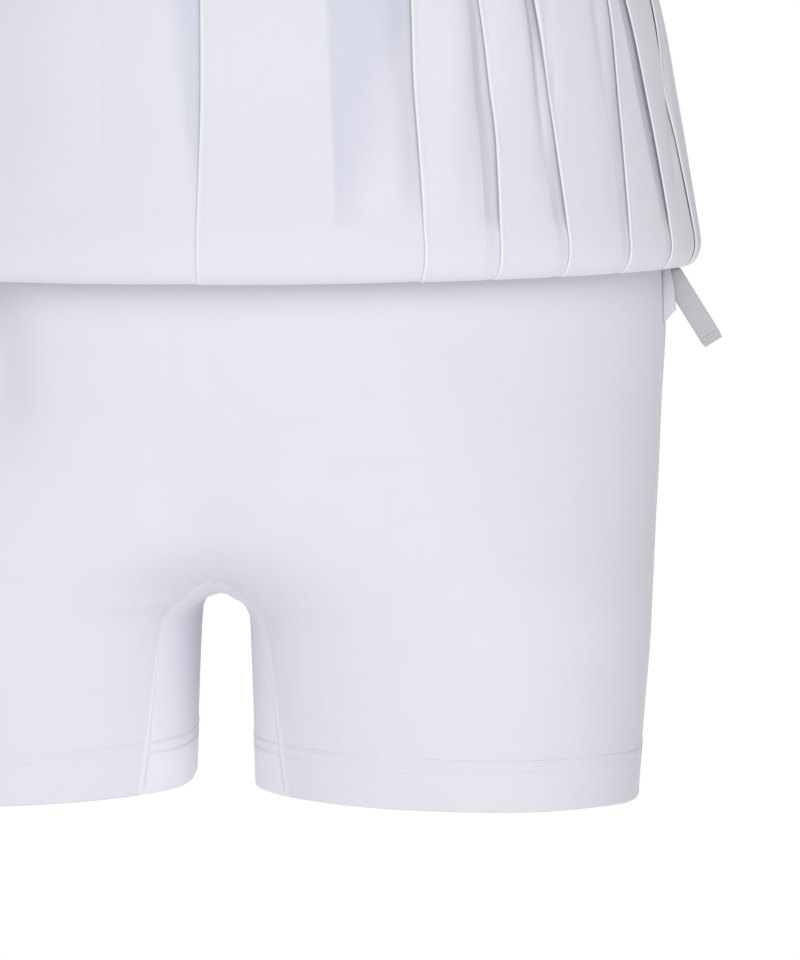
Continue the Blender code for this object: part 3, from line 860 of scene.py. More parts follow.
class PleatedSkirt:
    """The skirt's two panels of pleated cloth and the stitching of their edges."""

    edge_steps = (0.0, 0.3, 0.75, 1.2, 1.7, 2.2, 3.0)   # columns beside a pleat's edge, in mm
    shell_rows = 42
    fold_rows = 14
    inside_rows = 6

    def __init__(self, form: SkirtForm, finishes: Finishes) -> None:
        """Keeps the form and the finishes.

        Args:
            form: The skirt's shape.
            finishes: The garment's materials.
        """
        self.form = form
        self.finishes = finishes
        self.rows = [Row(RowKind.SHELL, k / self.shell_rows) for k in range(self.shell_rows)]
        self.rows += [
            Row(RowKind.FOLD, 180.0 * k / self.fold_rows) for k in range(self.fold_rows + 1)]
        self.rows += [
            Row(RowKind.INSIDE, k / self.inside_rows) for k in range(1, self.inside_rows + 1)]

    def stations(self, first: int, count: int) -> list[Station]:
        """Columns of cloth of a panel.

        Args:
            first: Number of its first pleat.
            count: How many pleats it has.

        Returns:
            The stations, from the side seam in the first pleat's inner fold to the last.
        """
        found: list[Station] = []
        for number in range(first, first + count):
            wide = self.form.pleat(number).wide
            face, drop, under = (26, 18, 7) if wide else (9, 10, 4)
            if number > first:
                found += [Station(number, Zone.INNER_FOLD, k / 4) for k in range(1, 4)]
            found += [Station(number, Zone.UNDERLAY, k / under) for k in range(under)]
            found += [Station(number, Zone.EDGE_FOLD, k / 6) for k in range(6)]
            found += [Station(number, Zone.FACE, 0.0, near) for near in self.edge_steps]
            last = self.edge_steps[-1]
            found += [Station(number, Zone.FACE, k / face, last) for k in range(1, face)]
            found += [Station(number, Zone.DROP, (k / drop) ** 1.2) for k in range(drop)]
            found += [Station(number, Zone.LAP, k / under) for k in range(under + 1)]
        return found

    def make_panel(self, name: str, node: str, first: int, count: int) -> bpy.types.Object:
        """Makes one panel of pleated cloth in place of its solid.

        Args:
            name: The piece's name.
            node: The CAD node that it stands for.
            first: Number of its first pleat.
            count: How many pleats it has.

        Returns:
            The piece.
        """
        stations = self.stations(first, count)
        lines = [SkirtLine(self.form, row) for row in self.rows]
        placed = [[line.place(station) for station in stations] for line in lines]
        points = [
            [self.form.point(line.row, angle, depth) for angle, depth, _, _ in values]
            for line, values in zip(lines, placed)
        ]
        bm = cloth_grid(len(stations) - 1, len(lines) - 1, lambda c, r: points[r][c])
        set_attributes(bm, lambda c, r: placed[r][c][2:])
        middle = points[self.shell_rows // 2]
        along, down = [0.0], [0.0]
        for before, after in zip(middle, middle[1:]):
            along.append(along[-1] + (after - before).length)
        for before, after in zip(points, points[1:]):
            down.append(down[-1] + (after[0] - before[0]).length)
        lay_cloth_map(bm, along, down)
        piece = finish_piece(bm, name, self.finishes.woven)
        thicken(piece, self.form.wall)
        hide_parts(node)
        LOG.info("%s: %d columns, cloth %.0f x %.0f mm", name, len(stations), along[-1], down[-1])
        return piece

    def make_edge_stitching(self, name: str, first: int, count: int) -> bpy.types.Object:
        """Sews the line of short stitches beside each pleat's edge.

        Args:
            name: The piece's name.
            first: Number of the first pleat.
            count: How many pleats are sewn.

        Returns:
            The piece.
        """
        pitch, inset, proud = 1.5, 1.7, 0.02
        stitched_turn = 140.0        # degrees round the soft fold that the sewing follows
        stitches: list[Stitch] = []
        rows = [row for row in self.rows if row.kind is not RowKind.INSIDE]
        rows = [row for row in rows if row.kind is RowKind.SHELL or row.value <= stitched_turn]
        lines = [SkirtLine(self.form, row) for row in rows]
        for number in range(first, first + count):
            path, outs = [], []
            for line in lines:
                angle, depth, _, _ = line.place(Station(number, Zone.FACE, 0.0, inset))
                lift = depth + self.form.wall / 2.0 + proud
                path.append(self.form.point(line.row, angle, lift))
                outs.append((self.form.point(line.row, angle, lift + 1.0) - path[-1]).normalized())
            stitches += list(walk(path, outs, pitch))
        size = StitchSize(1.05, 0.30, 0.24, slant=-9.0)
        piece = sew(stitches, size, name, self.finishes.thread)
        LOG.info("%s: %d stitches", name, len(stitches))
        return piece

    def build(self) -> None:
        count = len(self.form.pleats) // 2
        first = -self.form.front_hip_pleats
        for side, start in (("front", first), ("back", count + first)):
            piece = self.make_panel(f"skirt_{side}_cloth", f"skirt_{side}", start, count)
            thread = self.make_edge_stitching(f"skirt_{side}_edge_stitching", start, count)


def walk(path: Sequence[Vector], outs: Sequence[Vector], pitch: float) -> Iterable[Stitch]:
    """Stitches at even distances along a path.

    Args:
        path: Points in millimetres.
        outs: The cloth's outward direction at each.
        pitch: Distance from stitch to stitch.

    Yields:
        One stitch every pitch.
    """
    travelled, due = 0.0, pitch / 2.0
    for k in range(len(path) - 1):
        leg = path[k + 1] - path[k]
        length = leg.length
        while length > 0.0 and due <= travelled + length:
            share = (due - travelled) / length
            outward = outs[k].lerp(outs[k + 1], share).normalized()
            along = (leg - outward * leg.dot(outward)).normalized()
            yield Stitch(path[k].lerp(path[k + 1], share), along, outward)
            due += pitch
        travelled += length


# ---------------------------------------------------------------- shorts: their form
class LegSection(NamedTuple):
    """Outline of the shorts at a height; fullness 2 is an ellipse, more is squarer."""

    z: float
    half_width: float
    front: float
    back: float
    fullness: float


class Parting(NamedTuple):
    """Where the legs part at a height: a leg's inner side, and how far forward it lies."""

    z: float
    inner: float
    forward: float


class Ring(NamedTuple):
    """One leg's section at a height."""

    centre: float
    half_width: float
    front: float
    back: float
    fullness: float
    inner_fullness: float
    forward: float

    def power(self, across: float) -> float:
        """The section's exponent on its inner (across below 0) or outer side."""
        return self.inner_fullness if across < 0.0 else self.fullness

    def shift(self, across: float) -> float:
        """How far forward the section lies at a share of its half-width, -1 at its inner side."""
        return self.forward * max(-1.0, min(0.0, across)) ** 2

    def depth(self, angle: float) -> float:
        """Place along Y at an angle from the leg's outer side over the front."""
        turn = 2.0 / self.power(math.cos(angle))
        shift = self.shift(signed_power(math.cos(angle), turn))
        along = signed_power(math.sin(angle), turn)
        return -(self.front - shift if along > 0.0 else self.back + shift) * along - shift


class Drape(NamedTuple):
    """A soft trough (depth below 0) or ridge on the shorts, on a line in x and z."""

    x_top: float
    z_top: float
    x_low: float
    z_low: float
    width: float
    depth: float


class Half(Enum):
    """Front or back of the shorts."""

    FRONT = -1
    BACK = 1


@dataclass
class ShortsForm:
    """The shape of the inner shorts, as in the frame's solids."""

    cloth_top: float = -38.35
    crotch: float = -291.5
    hem: float = -365.0
    hem_rise: float = 5.0
    crotch_rounding: float = 7.0
    side_seam_forward: float = 14.0
    gusset_depth_top: float = 58.0
    gusset_depth_hem: float = 61.5
    gusset_flare: float = 0.4
    arch_curve: float = 1.9
    body_low: float = -278.0
    wall: float = 0.9
    seam_lap: float = 2.6
    halvings: int = 32
    side_dip: float = 2.2       # how much lower the hem hangs at its side seams
    sections: tuple[LegSection, ...] = (
        LegSection(-38.35, 138.3, 102.3, 105.8, 2.0),
        LegSection(-62.0, 141.0, 102.5, 107.5, 2.0),
        LegSection(-95.0, 147.5, 104.0, 111.5, 2.0),
        LegSection(-130.0, 154.5, 106.5, 116.0, 2.0),
        LegSection(-165.0, 160.3, 110.0, 119.5, 2.0),
        LegSection(-193.0, 161.0, 110.0, 119.5, 2.03),
        LegSection(-222.0, 159.6, 108.0, 117.0, 2.12),
        LegSection(-245.0, 158.7, 104.0, 111.5, 2.2),
        LegSection(-268.0, 157.6, 99.0, 102.5, 2.25),
        LegSection(-293.0, 156.6, 92.5, 90.0, 2.25),
        LegSection(-311.0, 155.8, 88.0, 82.5, 2.2),
        LegSection(-335.0, 153.9, 84.0, 76.5, 2.2),
        LegSection(-365.0, 151.7, 80.0, 72.5, 2.2),
    )
    # the same on a leg's inner side, where the cloth stays flat nearly up to the gusset
    inner_fullnesses: tuple[tuple[float, float], ...] = (
        (-193.0, 2.03), (-222.0, 2.2), (-245.0, 2.35), (-268.0, 2.6), (-285.0, 2.75),
        (-311.0, 2.6), (-365.0, 2.45),
    )
    partings: tuple[Parting, ...] = (
        Parting(-38.35, -138.3, 0.0), Parting(-95.0, -147.5, 0.0), Parting(-165.0, -160.3, 0.0),
        Parting(-205.0, -135.0, 0.0), Parting(-245.0, -84.0, 0.0), Parting(-268.0, -40.0, 4.0),
        Parting(-279.0, -10.0, 10.0), Parting(-285.0, 1.5, 14.0), Parting(-291.5, 7.0, 17.0),
        Parting(-294.5, 10.4, 18.0), Parting(-300.0, 12.2, 20.0), Parting(-311.0, 12.6, 22.0),
        Parting(-365.0, 13.9, 25.0),
    )

    def __post_init__(self) -> None:
        """Prepares the outline's curves."""
        self.outside = HeightCurve([(s.z, s.half_width) for s in self.sections])
        self.front = HeightCurve([(s.z, s.front) for s in self.sections])
        self.back = HeightCurve([(s.z, s.back) for s in self.sections])
        self.fullness = HeightCurve([(s.z, s.fullness) for s in self.sections])
        self.inner_fullness = HeightCurve(self.inner_fullnesses)
        self.inside = HeightCurve([(p.z, p.inner) for p in self.partings])
        self.forward = HeightCurve([(p.z, p.forward) for p in self.partings])

    def leg_ring(self, z: float) -> Ring:
        """One leg's section at a height."""
        outside, inside = self.outside.at(z), self.inside.at(z)
        return Ring(
            (outside + inside) / 2.0, (outside - inside) / 2.0, self.front.at(z),
            self.back.at(z), self.fullness.at(z), self.inner_fullness.at(z), self.forward.at(z),
        )

    def field(self, x: float, y: float, z: float) -> float:
        """Below zero inside the filled-out shorts, and above it outside them."""
        ring = self.leg_ring(z)
        across = (math.hypot(x, self.crotch_rounding) - ring.centre) / ring.half_width
        shift = ring.shift(across)
        ahead = y + shift
        depth = ring.front - shift if ahead < 0.0 else ring.back + shift
        power = ring.power(across)
        return abs(across) ** power + abs(ahead / depth) ** power - 1.0

    def normal(self, point: Vector) -> Vector:
        """Outward direction of the shorts' face beside a point."""
        reach = 0.02
        slopes = []
        for axis in range(3):
            ahead, behind = list(point), list(point)
            ahead[axis] += reach
            behind[axis] -= reach
            slopes.append(self.field(*ahead) - self.field(*behind))
        return Vector(slopes).normalized()

    def angle_at_depth(self, y: float, z: float, inner_side: bool) -> float:
        """Angle round a leg, from its outer side over the front, of a point at depth y."""
        ring = self.leg_ring(z)
        low, high = 0.5 * math.pi, (1.5 if inner_side else -0.5) * math.pi
        for _ in range(self.halvings):
            middle = (low + high) / 2.0
            if ring.depth(middle) < y:
                low = middle
            else:
                high = middle
        return low if low < math.pi else low - 2.0 * math.pi

    def angle_at_centre(self, z: float, half: Half) -> float:
        """Angle round a leg at which its section crosses the garment's centre plane."""
        ring = self.leg_ring(z)
        across = max(-1.0, (self.crotch_rounding - ring.centre) / ring.half_width)
        return -half.value * math.acos(signed_power(across, ring.power(across) / 2.0))

    def leg_point(self, angle: float, z: float, side: float) -> Vector:
        """A point of the outer face by its angle round the leg, on the side of sign side."""
        ring = self.leg_ring(z)
        turn = 2.0 / ring.power(math.cos(angle))
        across = ring.centre + ring.half_width * signed_power(math.cos(angle), turn)
        x = math.sqrt(max(across ** 2 - self.crotch_rounding ** 2, 0.0))
        return Vector((side * x, ring.depth(angle), z))

    def parting_height(self, y: float) -> float:
        """Height of the arch between the legs at a depth, found by halving."""
        low, high = self.hem, -250.0
        for _ in range(self.halvings):
            middle = (low + high) / 2.0
            if self.field(0.0, y, middle) > 0.0:
                low = middle
            else:
                high = middle
        return high

    def gusset_depth(self, down: float) -> float:
        """Depth of the gusset's seams, from the arch's top (0) to the hem (1)."""
        flare = down ** self.gusset_flare * smooth_step(down, 0.0, 0.12)
        return blend(self.gusset_depth_top, self.gusset_depth_hem, flare)

    def hem_height(self, angle: float) -> float:
        """Height of the hem at an angle round the leg."""
        dip = self.side_dip * smooth_step(abs(angle), 0.8, 0.0)
        return self.hem + self.hem_rise * (1.0 - math.cos(angle)) / 2.0 - dip

    def inner_edge(self, down: float, y: float) -> float:
        """Height of the inner leg at a depth, from the arch's top (0) to the hem (1)."""
        hem = self.hem_height(self.angle_at_depth(y, self.hem, True))
        return blend(self.parting_height(y), hem, down ** self.arch_curve)


class ShortsRow(NamedTuple):
    """One row of cloth of a front or back: its two ends, each as an angle and a height."""

    inner_angle: float
    inner_z: float
    outer_angle: float
    outer_z: float
    hem_turn: float = 0.0     # round the turned-up hem, in degrees
    hem_rise: float = 0.0     # up inside the turned-up hem, in mm


class InnerShorts:
    """The shorts' front, back and gusset with their seams, hems and stitching."""

    hem_allowance = 19.0
    hem_stitch_rows = (14.1, 17.8)   # heights of the coverstitch above the hem, in mm
    hem_stitch_pitch = 2.6
    hem_turn_rows = 5                # round the hem's edge
    hem_rise_rows = 4                # and up inside it
    gusset_painted_light = 0.7           # share of the whiter colour: painted light on the whole gusset
    hem_radius = 0.65
    hidden_rows = 10
    body_rows = 34
    join_rows = 4
    arch_rows = 40
    columns = 34                                          # even ones, between those beside a seam
    inner_steps = (0.0, 0.3, 0.6, 0.95, 1.5, 2.6, 4.6)    # columns beside a seam, in mm
    outer_steps = (0.0, 0.4, 0.8, 1.3, 2.2, 4.0)
    gusset_steps = (0.0, 1.2, 1.9, 2.3, 2.6, 2.9, 3.5, 5.0, 8.0, 13.0, 19.0, 26.0, 34.0, 43.0)
    drapes = {
        Half.FRONT: (
            Drape(-84.0, -140.0, -70.0, -246.0, 20.0, -7.0),
            Drape(-20.0, -166.0, -18.0, -296.0, 5.0, 0.9),
            Drape(-12.0, -166.0, -10.5, -296.0, 6.0, -1.1),
            Drape(-10.0, -212.0, -6.0, -284.0, 13.0, -1.3),
            Drape(12.0, -262.0, 46.0, -215.0, 12.0, 0.5),
            Drape(-14.0, -284.0, -52.0, -240.0, 10.0, -0.5),
            Drape(16.0, -284.0, 40.0, -250.0, 9.0, -0.45),
            Drape(62.0, -172.0, 84.0, -240.0, 30.0, 0.8),
        ),
        Half.BACK: (
            Drape(88.0, -170.0, 66.0, -236.0, 26.0, -1.8),
            Drape(0.0, -200.0, 2.0, -290.0, 12.0, -1.8),
            Drape(14.0, -284.0, 56.0, -262.0, 11.0, -0.9),
            Drape(-14.0, -284.0, -50.0, -266.0, 11.0, -0.8),
            Drape(-60.0, -180.0, -86.0, -244.0, 30.0, 0.8),
        ),
    }

    def __init__(self, form: ShortsForm, finishes: Finishes) -> None:
        """Keeps the form and the finishes, and samples the gusset's seams.

        Args:
            form: The shorts' shape.
            finishes: The garment's materials.
        """
        self.form = form
        self.finishes = finishes
        self.seams = {half: self._gusset_seam(half) for half in Half}

    def _gusset_seam(self, half: Half) -> KDTree:
        """Points along the seam between the gusset and a panel, ready to be searched."""
        samples = 500
        tree = KDTree(2 * samples + 2)
        for index in range(-samples, samples + 1):
            down = abs(index) / samples
            y = half.value * self.form.gusset_depth(down)
            z = self.form.inner_edge(down, y)
            side = 1.0 if index > 0 else -1.0
            point = self.form.leg_point(self.form.angle_at_depth(y, z, True), z, side)
            tree.insert(point, index + samples)
        tree.balance()
        return tree

    def panel_rows(self, half: Half) -> list[ShortsRow]:
        """Rows of cloth of a front or back, from the waist down and up into the hem.

        Args:
            half: Which of the two.

        Returns:
            The rows from the top.
        """
        form = self.form
        rows: list[ShortsRow] = []
        shown_from = -158.0
        seam_y = -form.side_seam_forward
        if half is Half.BACK:
            seam_y -= form.seam_lap
        heights = [blend(form.cloth_top, shown_from, k / self.hidden_rows)
                   for k in range(self.hidden_rows)]
        heights += [blend(shown_from, form.body_low, k / self.body_rows)
                    for k in range(self.body_rows + 1)]
        top_y = half.value * form.gusset_depth(0.0)
        arch_top = form.inner_edge(0.0, top_y)
        for z in heights:
            rows.append(ShortsRow(
                form.angle_at_centre(z, half), z, form.angle_at_depth(seam_y, z, False), z))
        for k in range(1, self.join_rows):
            inner_z = blend(form.body_low, arch_top, k / self.join_rows)
            outer_z = blend(form.body_low, form.crotch, k / self.join_rows)
            rows.append(ShortsRow(
                form.angle_at_centre(inner_z, half), inner_z,
                form.angle_at_depth(seam_y, outer_z, False), outer_z))
        for k in range(self.arch_rows + 1):
            down = k / self.arch_rows
            y = half.value * form.gusset_depth(down)
            inner_z = form.inner_edge(down, y)
            outer_z = blend(form.crotch, form.hem, down)
            rows.append(ShortsRow(
                form.angle_at_depth(y, inner_z, True), inner_z,
                form.angle_at_depth(seam_y, outer_z, False), outer_z))
        return rows + self.hem_rows(rows[-1])

    def hem_rows(self, last: ShortsRow) -> list[ShortsRow]:
        """Rows round and up inside the turned-up hem, below the last row of the face."""
        turn_rows, rise_rows = self.hem_turn_rows, self.hem_rise_rows
        turns = [last._replace(hem_turn=180.0 * k / turn_rows) for k in range(1, turn_rows + 1)]
        inside = [last._replace(hem_turn=180.0, hem_rise=self.hem_allowance * k / rise_rows)
                  for k in range(1, rise_rows + 1)]
        return turns + inside

    def relief(self, point: Vector, half: Half, above_hem: float, side_gap: float) -> float:
        """How far sewing and drape move the cloth out at a point.

        Args:
            point: The point of the plain face.
            half: Front or back.
            above_hem: Height above the hem.
            side_gap: Distance from the side seam along the cloth.

        Returns:
            The move in millimetres.
        """
        _, _, seam_gap = self.seams[half].find(point)
        out = 0.20 * bell(seam_gap - 0.3, 0.7) + 0.20 * bell(side_gap - 0.4, 0.8)
        out += self.hem_relief(above_hem)
        for drape in self.drapes[half]:
            height = drape.z_top - drape.z_low
            down = (drape.z_top - point.z) / height
            if 0.0 < down < 1.0:
                away = point.x - blend(drape.x_top, drape.x_low, down)
                ends = smooth_step(down, 0.0, 0.4) * smooth_step(down, 1.0, 0.6)
                out += drape.depth * ends * bell(away, drape.width)
        return out

    def hem_relief(self, above_hem: float) -> float:
        """Swell of the turned-up hem and the two low ridges of its stitching."""
        swell = 0.22 * smooth_step(above_hem, self.hem_allowance + 0.8, self.hem_allowance - 1.2)
        ridges = sum(bell(above_hem - row, 1.2) for row in self.hem_stitch_rows)
        return swell + 0.05 * ridges

    def place(
        self, row: ShortsRow, share: float, side: float, half: Half, side_gap: float,
    ) -> Vector:
        """A point of the cloth of a front or back.

        Args:
            row: Its row.
            share: Place from the row's inner end (0) to the side seam (1).
            side: +1 on the wearer's left and -1 on the right.
            half: Front or back.
            side_gap: Distance from the side seam along the cloth.

        Returns:
            The point on the middle of the cloth's thickness, in millimetres.
        """
        form = self.form
        angle = blend(row.inner_angle, row.outer_angle, share)
        z = blend(row.inner_z, row.outer_z, share)
        z += (form.hem_height(angle) - z) * smooth_step(row.outer_z, form.hem + 26.0, form.hem)
        point = form.leg_point(angle, z, side)
        normal = form.normal(point)
        out = -form.wall / 2.0 + self.relief(point, half, z - form.hem_height(angle), side_gap)
        if half is Half.BACK:
            out -= (form.wall + 0.05) * smooth_step(side_gap, 3.0, 1.9)
        if row.hem_turn > 0.0:
            turn = math.radians(row.hem_turn)
            out -= self.hem_radius * (1.0 - math.cos(turn))
            drop = self.hem_radius * math.sin(turn) - row.hem_rise
            return point + normal * out - Vector((0.0, 0.0, drop))
        return point + normal * out

    def make_panel(self, half: Half) -> bpy.types.Object:
        """Makes the front or back in one piece: hips, both legs and the arch between.

        Args:
            half: Which of the two.

        Returns:
            The piece.
        """
        rows = self.panel_rows(half)
        form = self.form
        whole = bmesh.new()
        for side in (-1.0, 1.0):
            flip = side * half.value > 0.0
            table: list[list[Vector]] = []
            pressed: list[list[float]] = []
            for row in rows:
                ends = [form.leg_point(blend(row.inner_angle, row.outer_angle, s / 8.0),
                                       blend(row.inner_z, row.outer_z, s / 8.0), side)
                        for s in range(9)]
                length = sum((b - a).length for a, b in zip(ends, ends[1:]))
                shares = self.shares(length)
                table.append([
                    self.place(row, s, side, half, length * (1.0 - s)) for s in shares])
                # painted highlight along the seams
                pressed.append([
                    self.pressed(point, half, length * (1.0 - s))
                    for s, point in zip(shares, table[-1])])
            last = len(shares) - 1
            bm = cloth_grid(
                last, len(rows) - 1, lambda c, r, t=table, f=flip: t[r][last - c if f else c])
            # No painted shade on the shorts; painted highlight along the seams.
            set_attributes(
                bm, lambda c, r, p=pressed, f=flip: (0.0, p[r][last - c if f else c]))
            along = [0.0]
            middle = table[self.hidden_rows + self.body_rows // 2]
            if flip:
                middle = middle[::-1]
            for before, after in zip(middle, middle[1:]):
                along.append(along[-1] + (after - before).length)
            down = [0.0]
            for before, after in zip(table, table[1:]):
                down.append(down[-1] + (after[-1] - before[-1]).length)
            start = -along[-1] if flip else 0.0
            lay_cloth_map(bm, [start + value for value in along], down)
            mesh = bpy.data.meshes.new("half")
            bm.to_mesh(mesh)
            bm.free()
            whole.from_mesh(mesh)
            bpy.data.meshes.remove(mesh)
        centre = [vert for vert in whole.verts if abs(vert.co.x) < 2e-5]
        bmesh.ops.remove_doubles(whole, verts=centre, dist=5e-5)
        LOG.info("shorts_%s: %d rows of %d columns", half.name.lower(), len(rows), last)
        side_name = half.name.lower()
        piece = finish_piece(whole, f"shorts_{side_name}_cloth", self.finishes.jersey)
        thicken(piece, form.wall)
        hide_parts(f"shorts_{side_name}")
        return piece

    def shares(self, length: float) -> list[float]:
        """Places of the columns along a row of a length, from its inner end (0) to its outer."""
        first, last = self.inner_steps[-1] / length, 1.0 - self.outer_steps[-1] / length
        found = [step / length for step in self.inner_steps[:-1]]
        found += [blend(first, last, k / self.columns) for k in range(self.columns + 1)]
        return found + [1.0 - step / length for step in reversed(self.outer_steps[:-1])]

    def pressed(self, point: Vector, half: Half, side_gap: float) -> float:
        """Share of painted highlight that a point gets on the raised line of a seam."""
        _, _, seam_gap = self.seams[half].find(point)
        return max(0.8 * smooth_step(seam_gap, 0.9, 0.45), 0.6 * smooth_step(side_gap, 0.9, 0.4))

    def gusset_place(self, station: float, gap: float, turn: float, rise: float) -> Vector:
        """A point of the gusset.

        Args:
            station: From the right leg's hem (-1) over the arch (0) to the left leg's (1).
            gap: Distance from the strip's front edge, or below 0 from its back edge.
            turn: Round the turned-up hem, in degrees.
            rise: Up inside the hem, in mm.

        Returns:
            The point on the middle of the cloth's thickness, in millimetres.
        """
        form = self.form
        down = abs(station)
        reach = form.gusset_depth(down) + form.seam_lap
        y = math.copysign(max(0.0, reach - abs(gap)), -gap)
        z = form.inner_edge(down, y)
        side = 1.0 if station > 0.0 else -1.0
        point = form.leg_point(form.angle_at_depth(y, z, True), z, side)
        under = smooth_step(abs(gap), form.seam_lap + 0.25, form.seam_lap - 0.8)
        out = -form.wall / 2.0 - 0.05 - form.wall * under
        out += self.hem_relief(z - form.hem_height(form.angle_at_depth(y, form.hem, True)))
        out -= self.hem_radius * (1.0 - math.cos(math.radians(turn)))
        drop = self.hem_radius * math.sin(math.radians(turn)) - rise
        return point + form.normal(point) * out - Vector((0.0, 0.0, drop))

    def make_gusset(self) -> bpy.types.Object:
        """Makes the horseshoe strip from hem to hem over the arch.

        Returns:
            The piece.
        """
        turn_rows, rise_rows = self.hem_turn_rows, self.hem_rise_rows
        end = [(1.0, 180.0, self.hem_allowance * k / rise_rows) for k in range(rise_rows, 0, -1)]
        end += [(1.0, 180.0 * k / turn_rows, 0.0) for k in range(turn_rows, 0, -1)]
        leg = [(1.0 - k / self.arch_rows, 0.0, 0.0) for k in range(self.arch_rows)]
        right = [(-station, turn, rise) for station, turn, rise in end + leg]
        left = [(station, turn, rise) for station, turn, rise in reversed(end + leg)]
        stations = [*right, (0.0, 0.0, 0.0), *left]
        gaps = [max(step, 1e-6) for step in self.gusset_steps] + [100.0]
        gaps += [-gap for gap in reversed(gaps[:-1])]
        table = [
            [self.gusset_place(station, gap, turn, rise) for gap in gaps]
            for station, turn, rise in stations
        ]
        bm = cloth_grid(len(gaps) - 1, len(stations) - 1, lambda c, r: table[r][c])
        along = [0.0]
        middle = table[len(table) // 2]
        for before, after in zip(middle, middle[1:]):
            along.append(along[-1] + (after - before).length)
        down = [0.0]
        for before, after in zip(table, table[1:]):
            down.append(down[-1] + (after[0] - before[0]).length)
        lay_cloth_map(bm, along, down)
        # Painted light: the whole gusset is drawn this much whiter, lifting the shade that falls
        # between the legs.
        set_attributes(bm, lambda c, r: (0.0, self.gusset_painted_light))
        bmesh.ops.recalc_face_normals(bm, faces=bm.faces)
        piece = finish_piece(bm, "shorts_gusset_cloth", self.finishes.jersey)
        thicken(piece, self.form.wall)
        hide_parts("shorts_gusset")
        return piece

    def make_hem_stitching(self, side: float) -> bpy.types.Object:
        """Sews the two parallel rows of the turned-up hem round one leg.

        Args:
            side: +1 for the wearer's left leg and -1 for the right.

        Returns:
            The piece.
        """
        form = self.form
        steps = 180
        stitches: list[Stitch] = []
        for height in self.hem_stitch_rows:
            path, outs = [], []
            for k in range(steps + 1):
                angle = math.pi * (2.0 * k / steps - 1.0)
                angle = min(max(angle, -math.pi + 1e-6), math.pi - 1e-6)
                z = form.hem_height(angle) + height
                point = form.leg_point(angle, z, side)
                outs.append(form.normal(point))
                path.append(point + outs[-1] * (self.hem_relief(height) + 0.02))
            stitches += list(walk(path, outs, self.hem_stitch_pitch))
        name = "left" if side > 0.0 else "right"
        piece = sew(stitches, StitchSize(2.2, 0.60, 0.05, halvings=2), f"{name}_hem_stitching",
                    self.finishes.thread)
        return piece

    def build(self) -> None:
        front, back = (self.make_panel(half) for half in (Half.FRONT, Half.BACK))
        gusset = self.make_gusset()
        hems = [self.make_hem_stitching(side) for side in (1.0, -1.0)]
        trims = SideTrim(self.form, self.finishes).build()


# ---------------------------------------------------------------- waistband
class Waistband:
    """The pull-on band: doubled cloth round elastic, a little narrower at its top."""

    height = 38.0
    wall = 3.0
    around = 168
    profile_round = 6
    profile_flat = 10
    top = (131.0, 97.0, 99.5)        # half-width, front and back at the top edge
    low = (140.8, 104.8, 108.3)      # and at the bottom edge
    ripples = 34.0                   # round the band, faded out at its lower edge
    ripple_depth = 0.18
    ripple_rise = 8.0
    stitch_row_height = 3.2

    def __init__(self, finishes: Finishes) -> None:
        """Keeps the finishes."""
        self.finishes = finishes

    def ring(self, angle: float, z: float, outward: float) -> Vector:
        """A point beside the band's outer face at an angle in radians."""
        share = -z / self.height
        half_width, front, back = (blend(a, b, share) for a, b in zip(self.top, self.low))
        depth = front if math.cos(angle) > 0.0 else back
        fade = smooth_step(z, -self.height, -self.height + self.ripple_rise)
        outward += self.ripple_depth * math.sin(angle * self.ripples) * fade
        return Vector((
            (half_width + outward) * math.sin(angle), -(depth + outward) * math.cos(angle), z))

    def profile(self) -> list[tuple[float, float]]:
        """Closed outline of the band's section as (outward, height)."""
        radius = self.wall / 2.0
        rounds = self.profile_round
        points = []
        for k in range(rounds + 1):
            turn = math.pi * k / rounds
            points.append((-radius - radius * math.cos(turn), -radius + radius * math.sin(turn)))
        flat = self.profile_flat
        for k in range(1, flat):
            points.append((0.0, blend(-radius, -self.height + radius, k / flat)))
        for k in range(rounds + 1):
            turn = math.pi * k / rounds
            points.append((-radius + radius * math.cos(turn),
                           -self.height + radius - radius * math.sin(turn)))
        for k in range(1, flat):
            points.append((-self.wall, blend(-self.height + radius, -radius, k / flat)))
        return points

    def build(self) -> None:
        """Makes the band and its stitching."""
        outline = self.profile()
        count = len(outline)

        def place(column: int, row: int) -> Vector:
            """Point of the band's tube of cloth."""
            out, z = outline[row % count]
            return self.ring(2.0 * math.pi * column / self.around, z, out)

        bm = cloth_grid(self.around, count, place)
        along = [5.0 * column for column in range(self.around + 1)]
        down = [0.0]
        for k in range(count):
            a, b = outline[k], outline[(k + 1) % count]
            down.append(down[-1] + math.hypot(a[0] - b[0], a[1] - b[1]))
        lay_cloth_map(bm, along, down)
        bmesh.ops.remove_doubles(bm, verts=bm.verts, dist=1e-6)
        bmesh.ops.recalc_face_normals(bm, faces=bm.faces)
        band = finish_piece(bm, "waistband_cloth", self.finishes.woven)
        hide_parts("waistband")
        thread = self.make_stitching()
        LOG.info("waistband: %d columns", self.around)

    def make_stitching(self) -> bpy.types.Object:
        """Sews one row above the band's lower edge."""
        path, outs = [], []
        z = -self.height + self.stitch_row_height
        for k in range(self.around + 1):
            angle = 2.0 * math.pi * k / self.around
            path.append(self.ring(angle, z, 0.04))
            outs.append((self.ring(angle, z, 1.04) - path[-1]).normalized())
        piece = sew(walk(path, outs, 2.4), StitchSize(1.8, 0.36, 0.28),
                    "waistband_stitching", self.finishes.thread)
        return piece


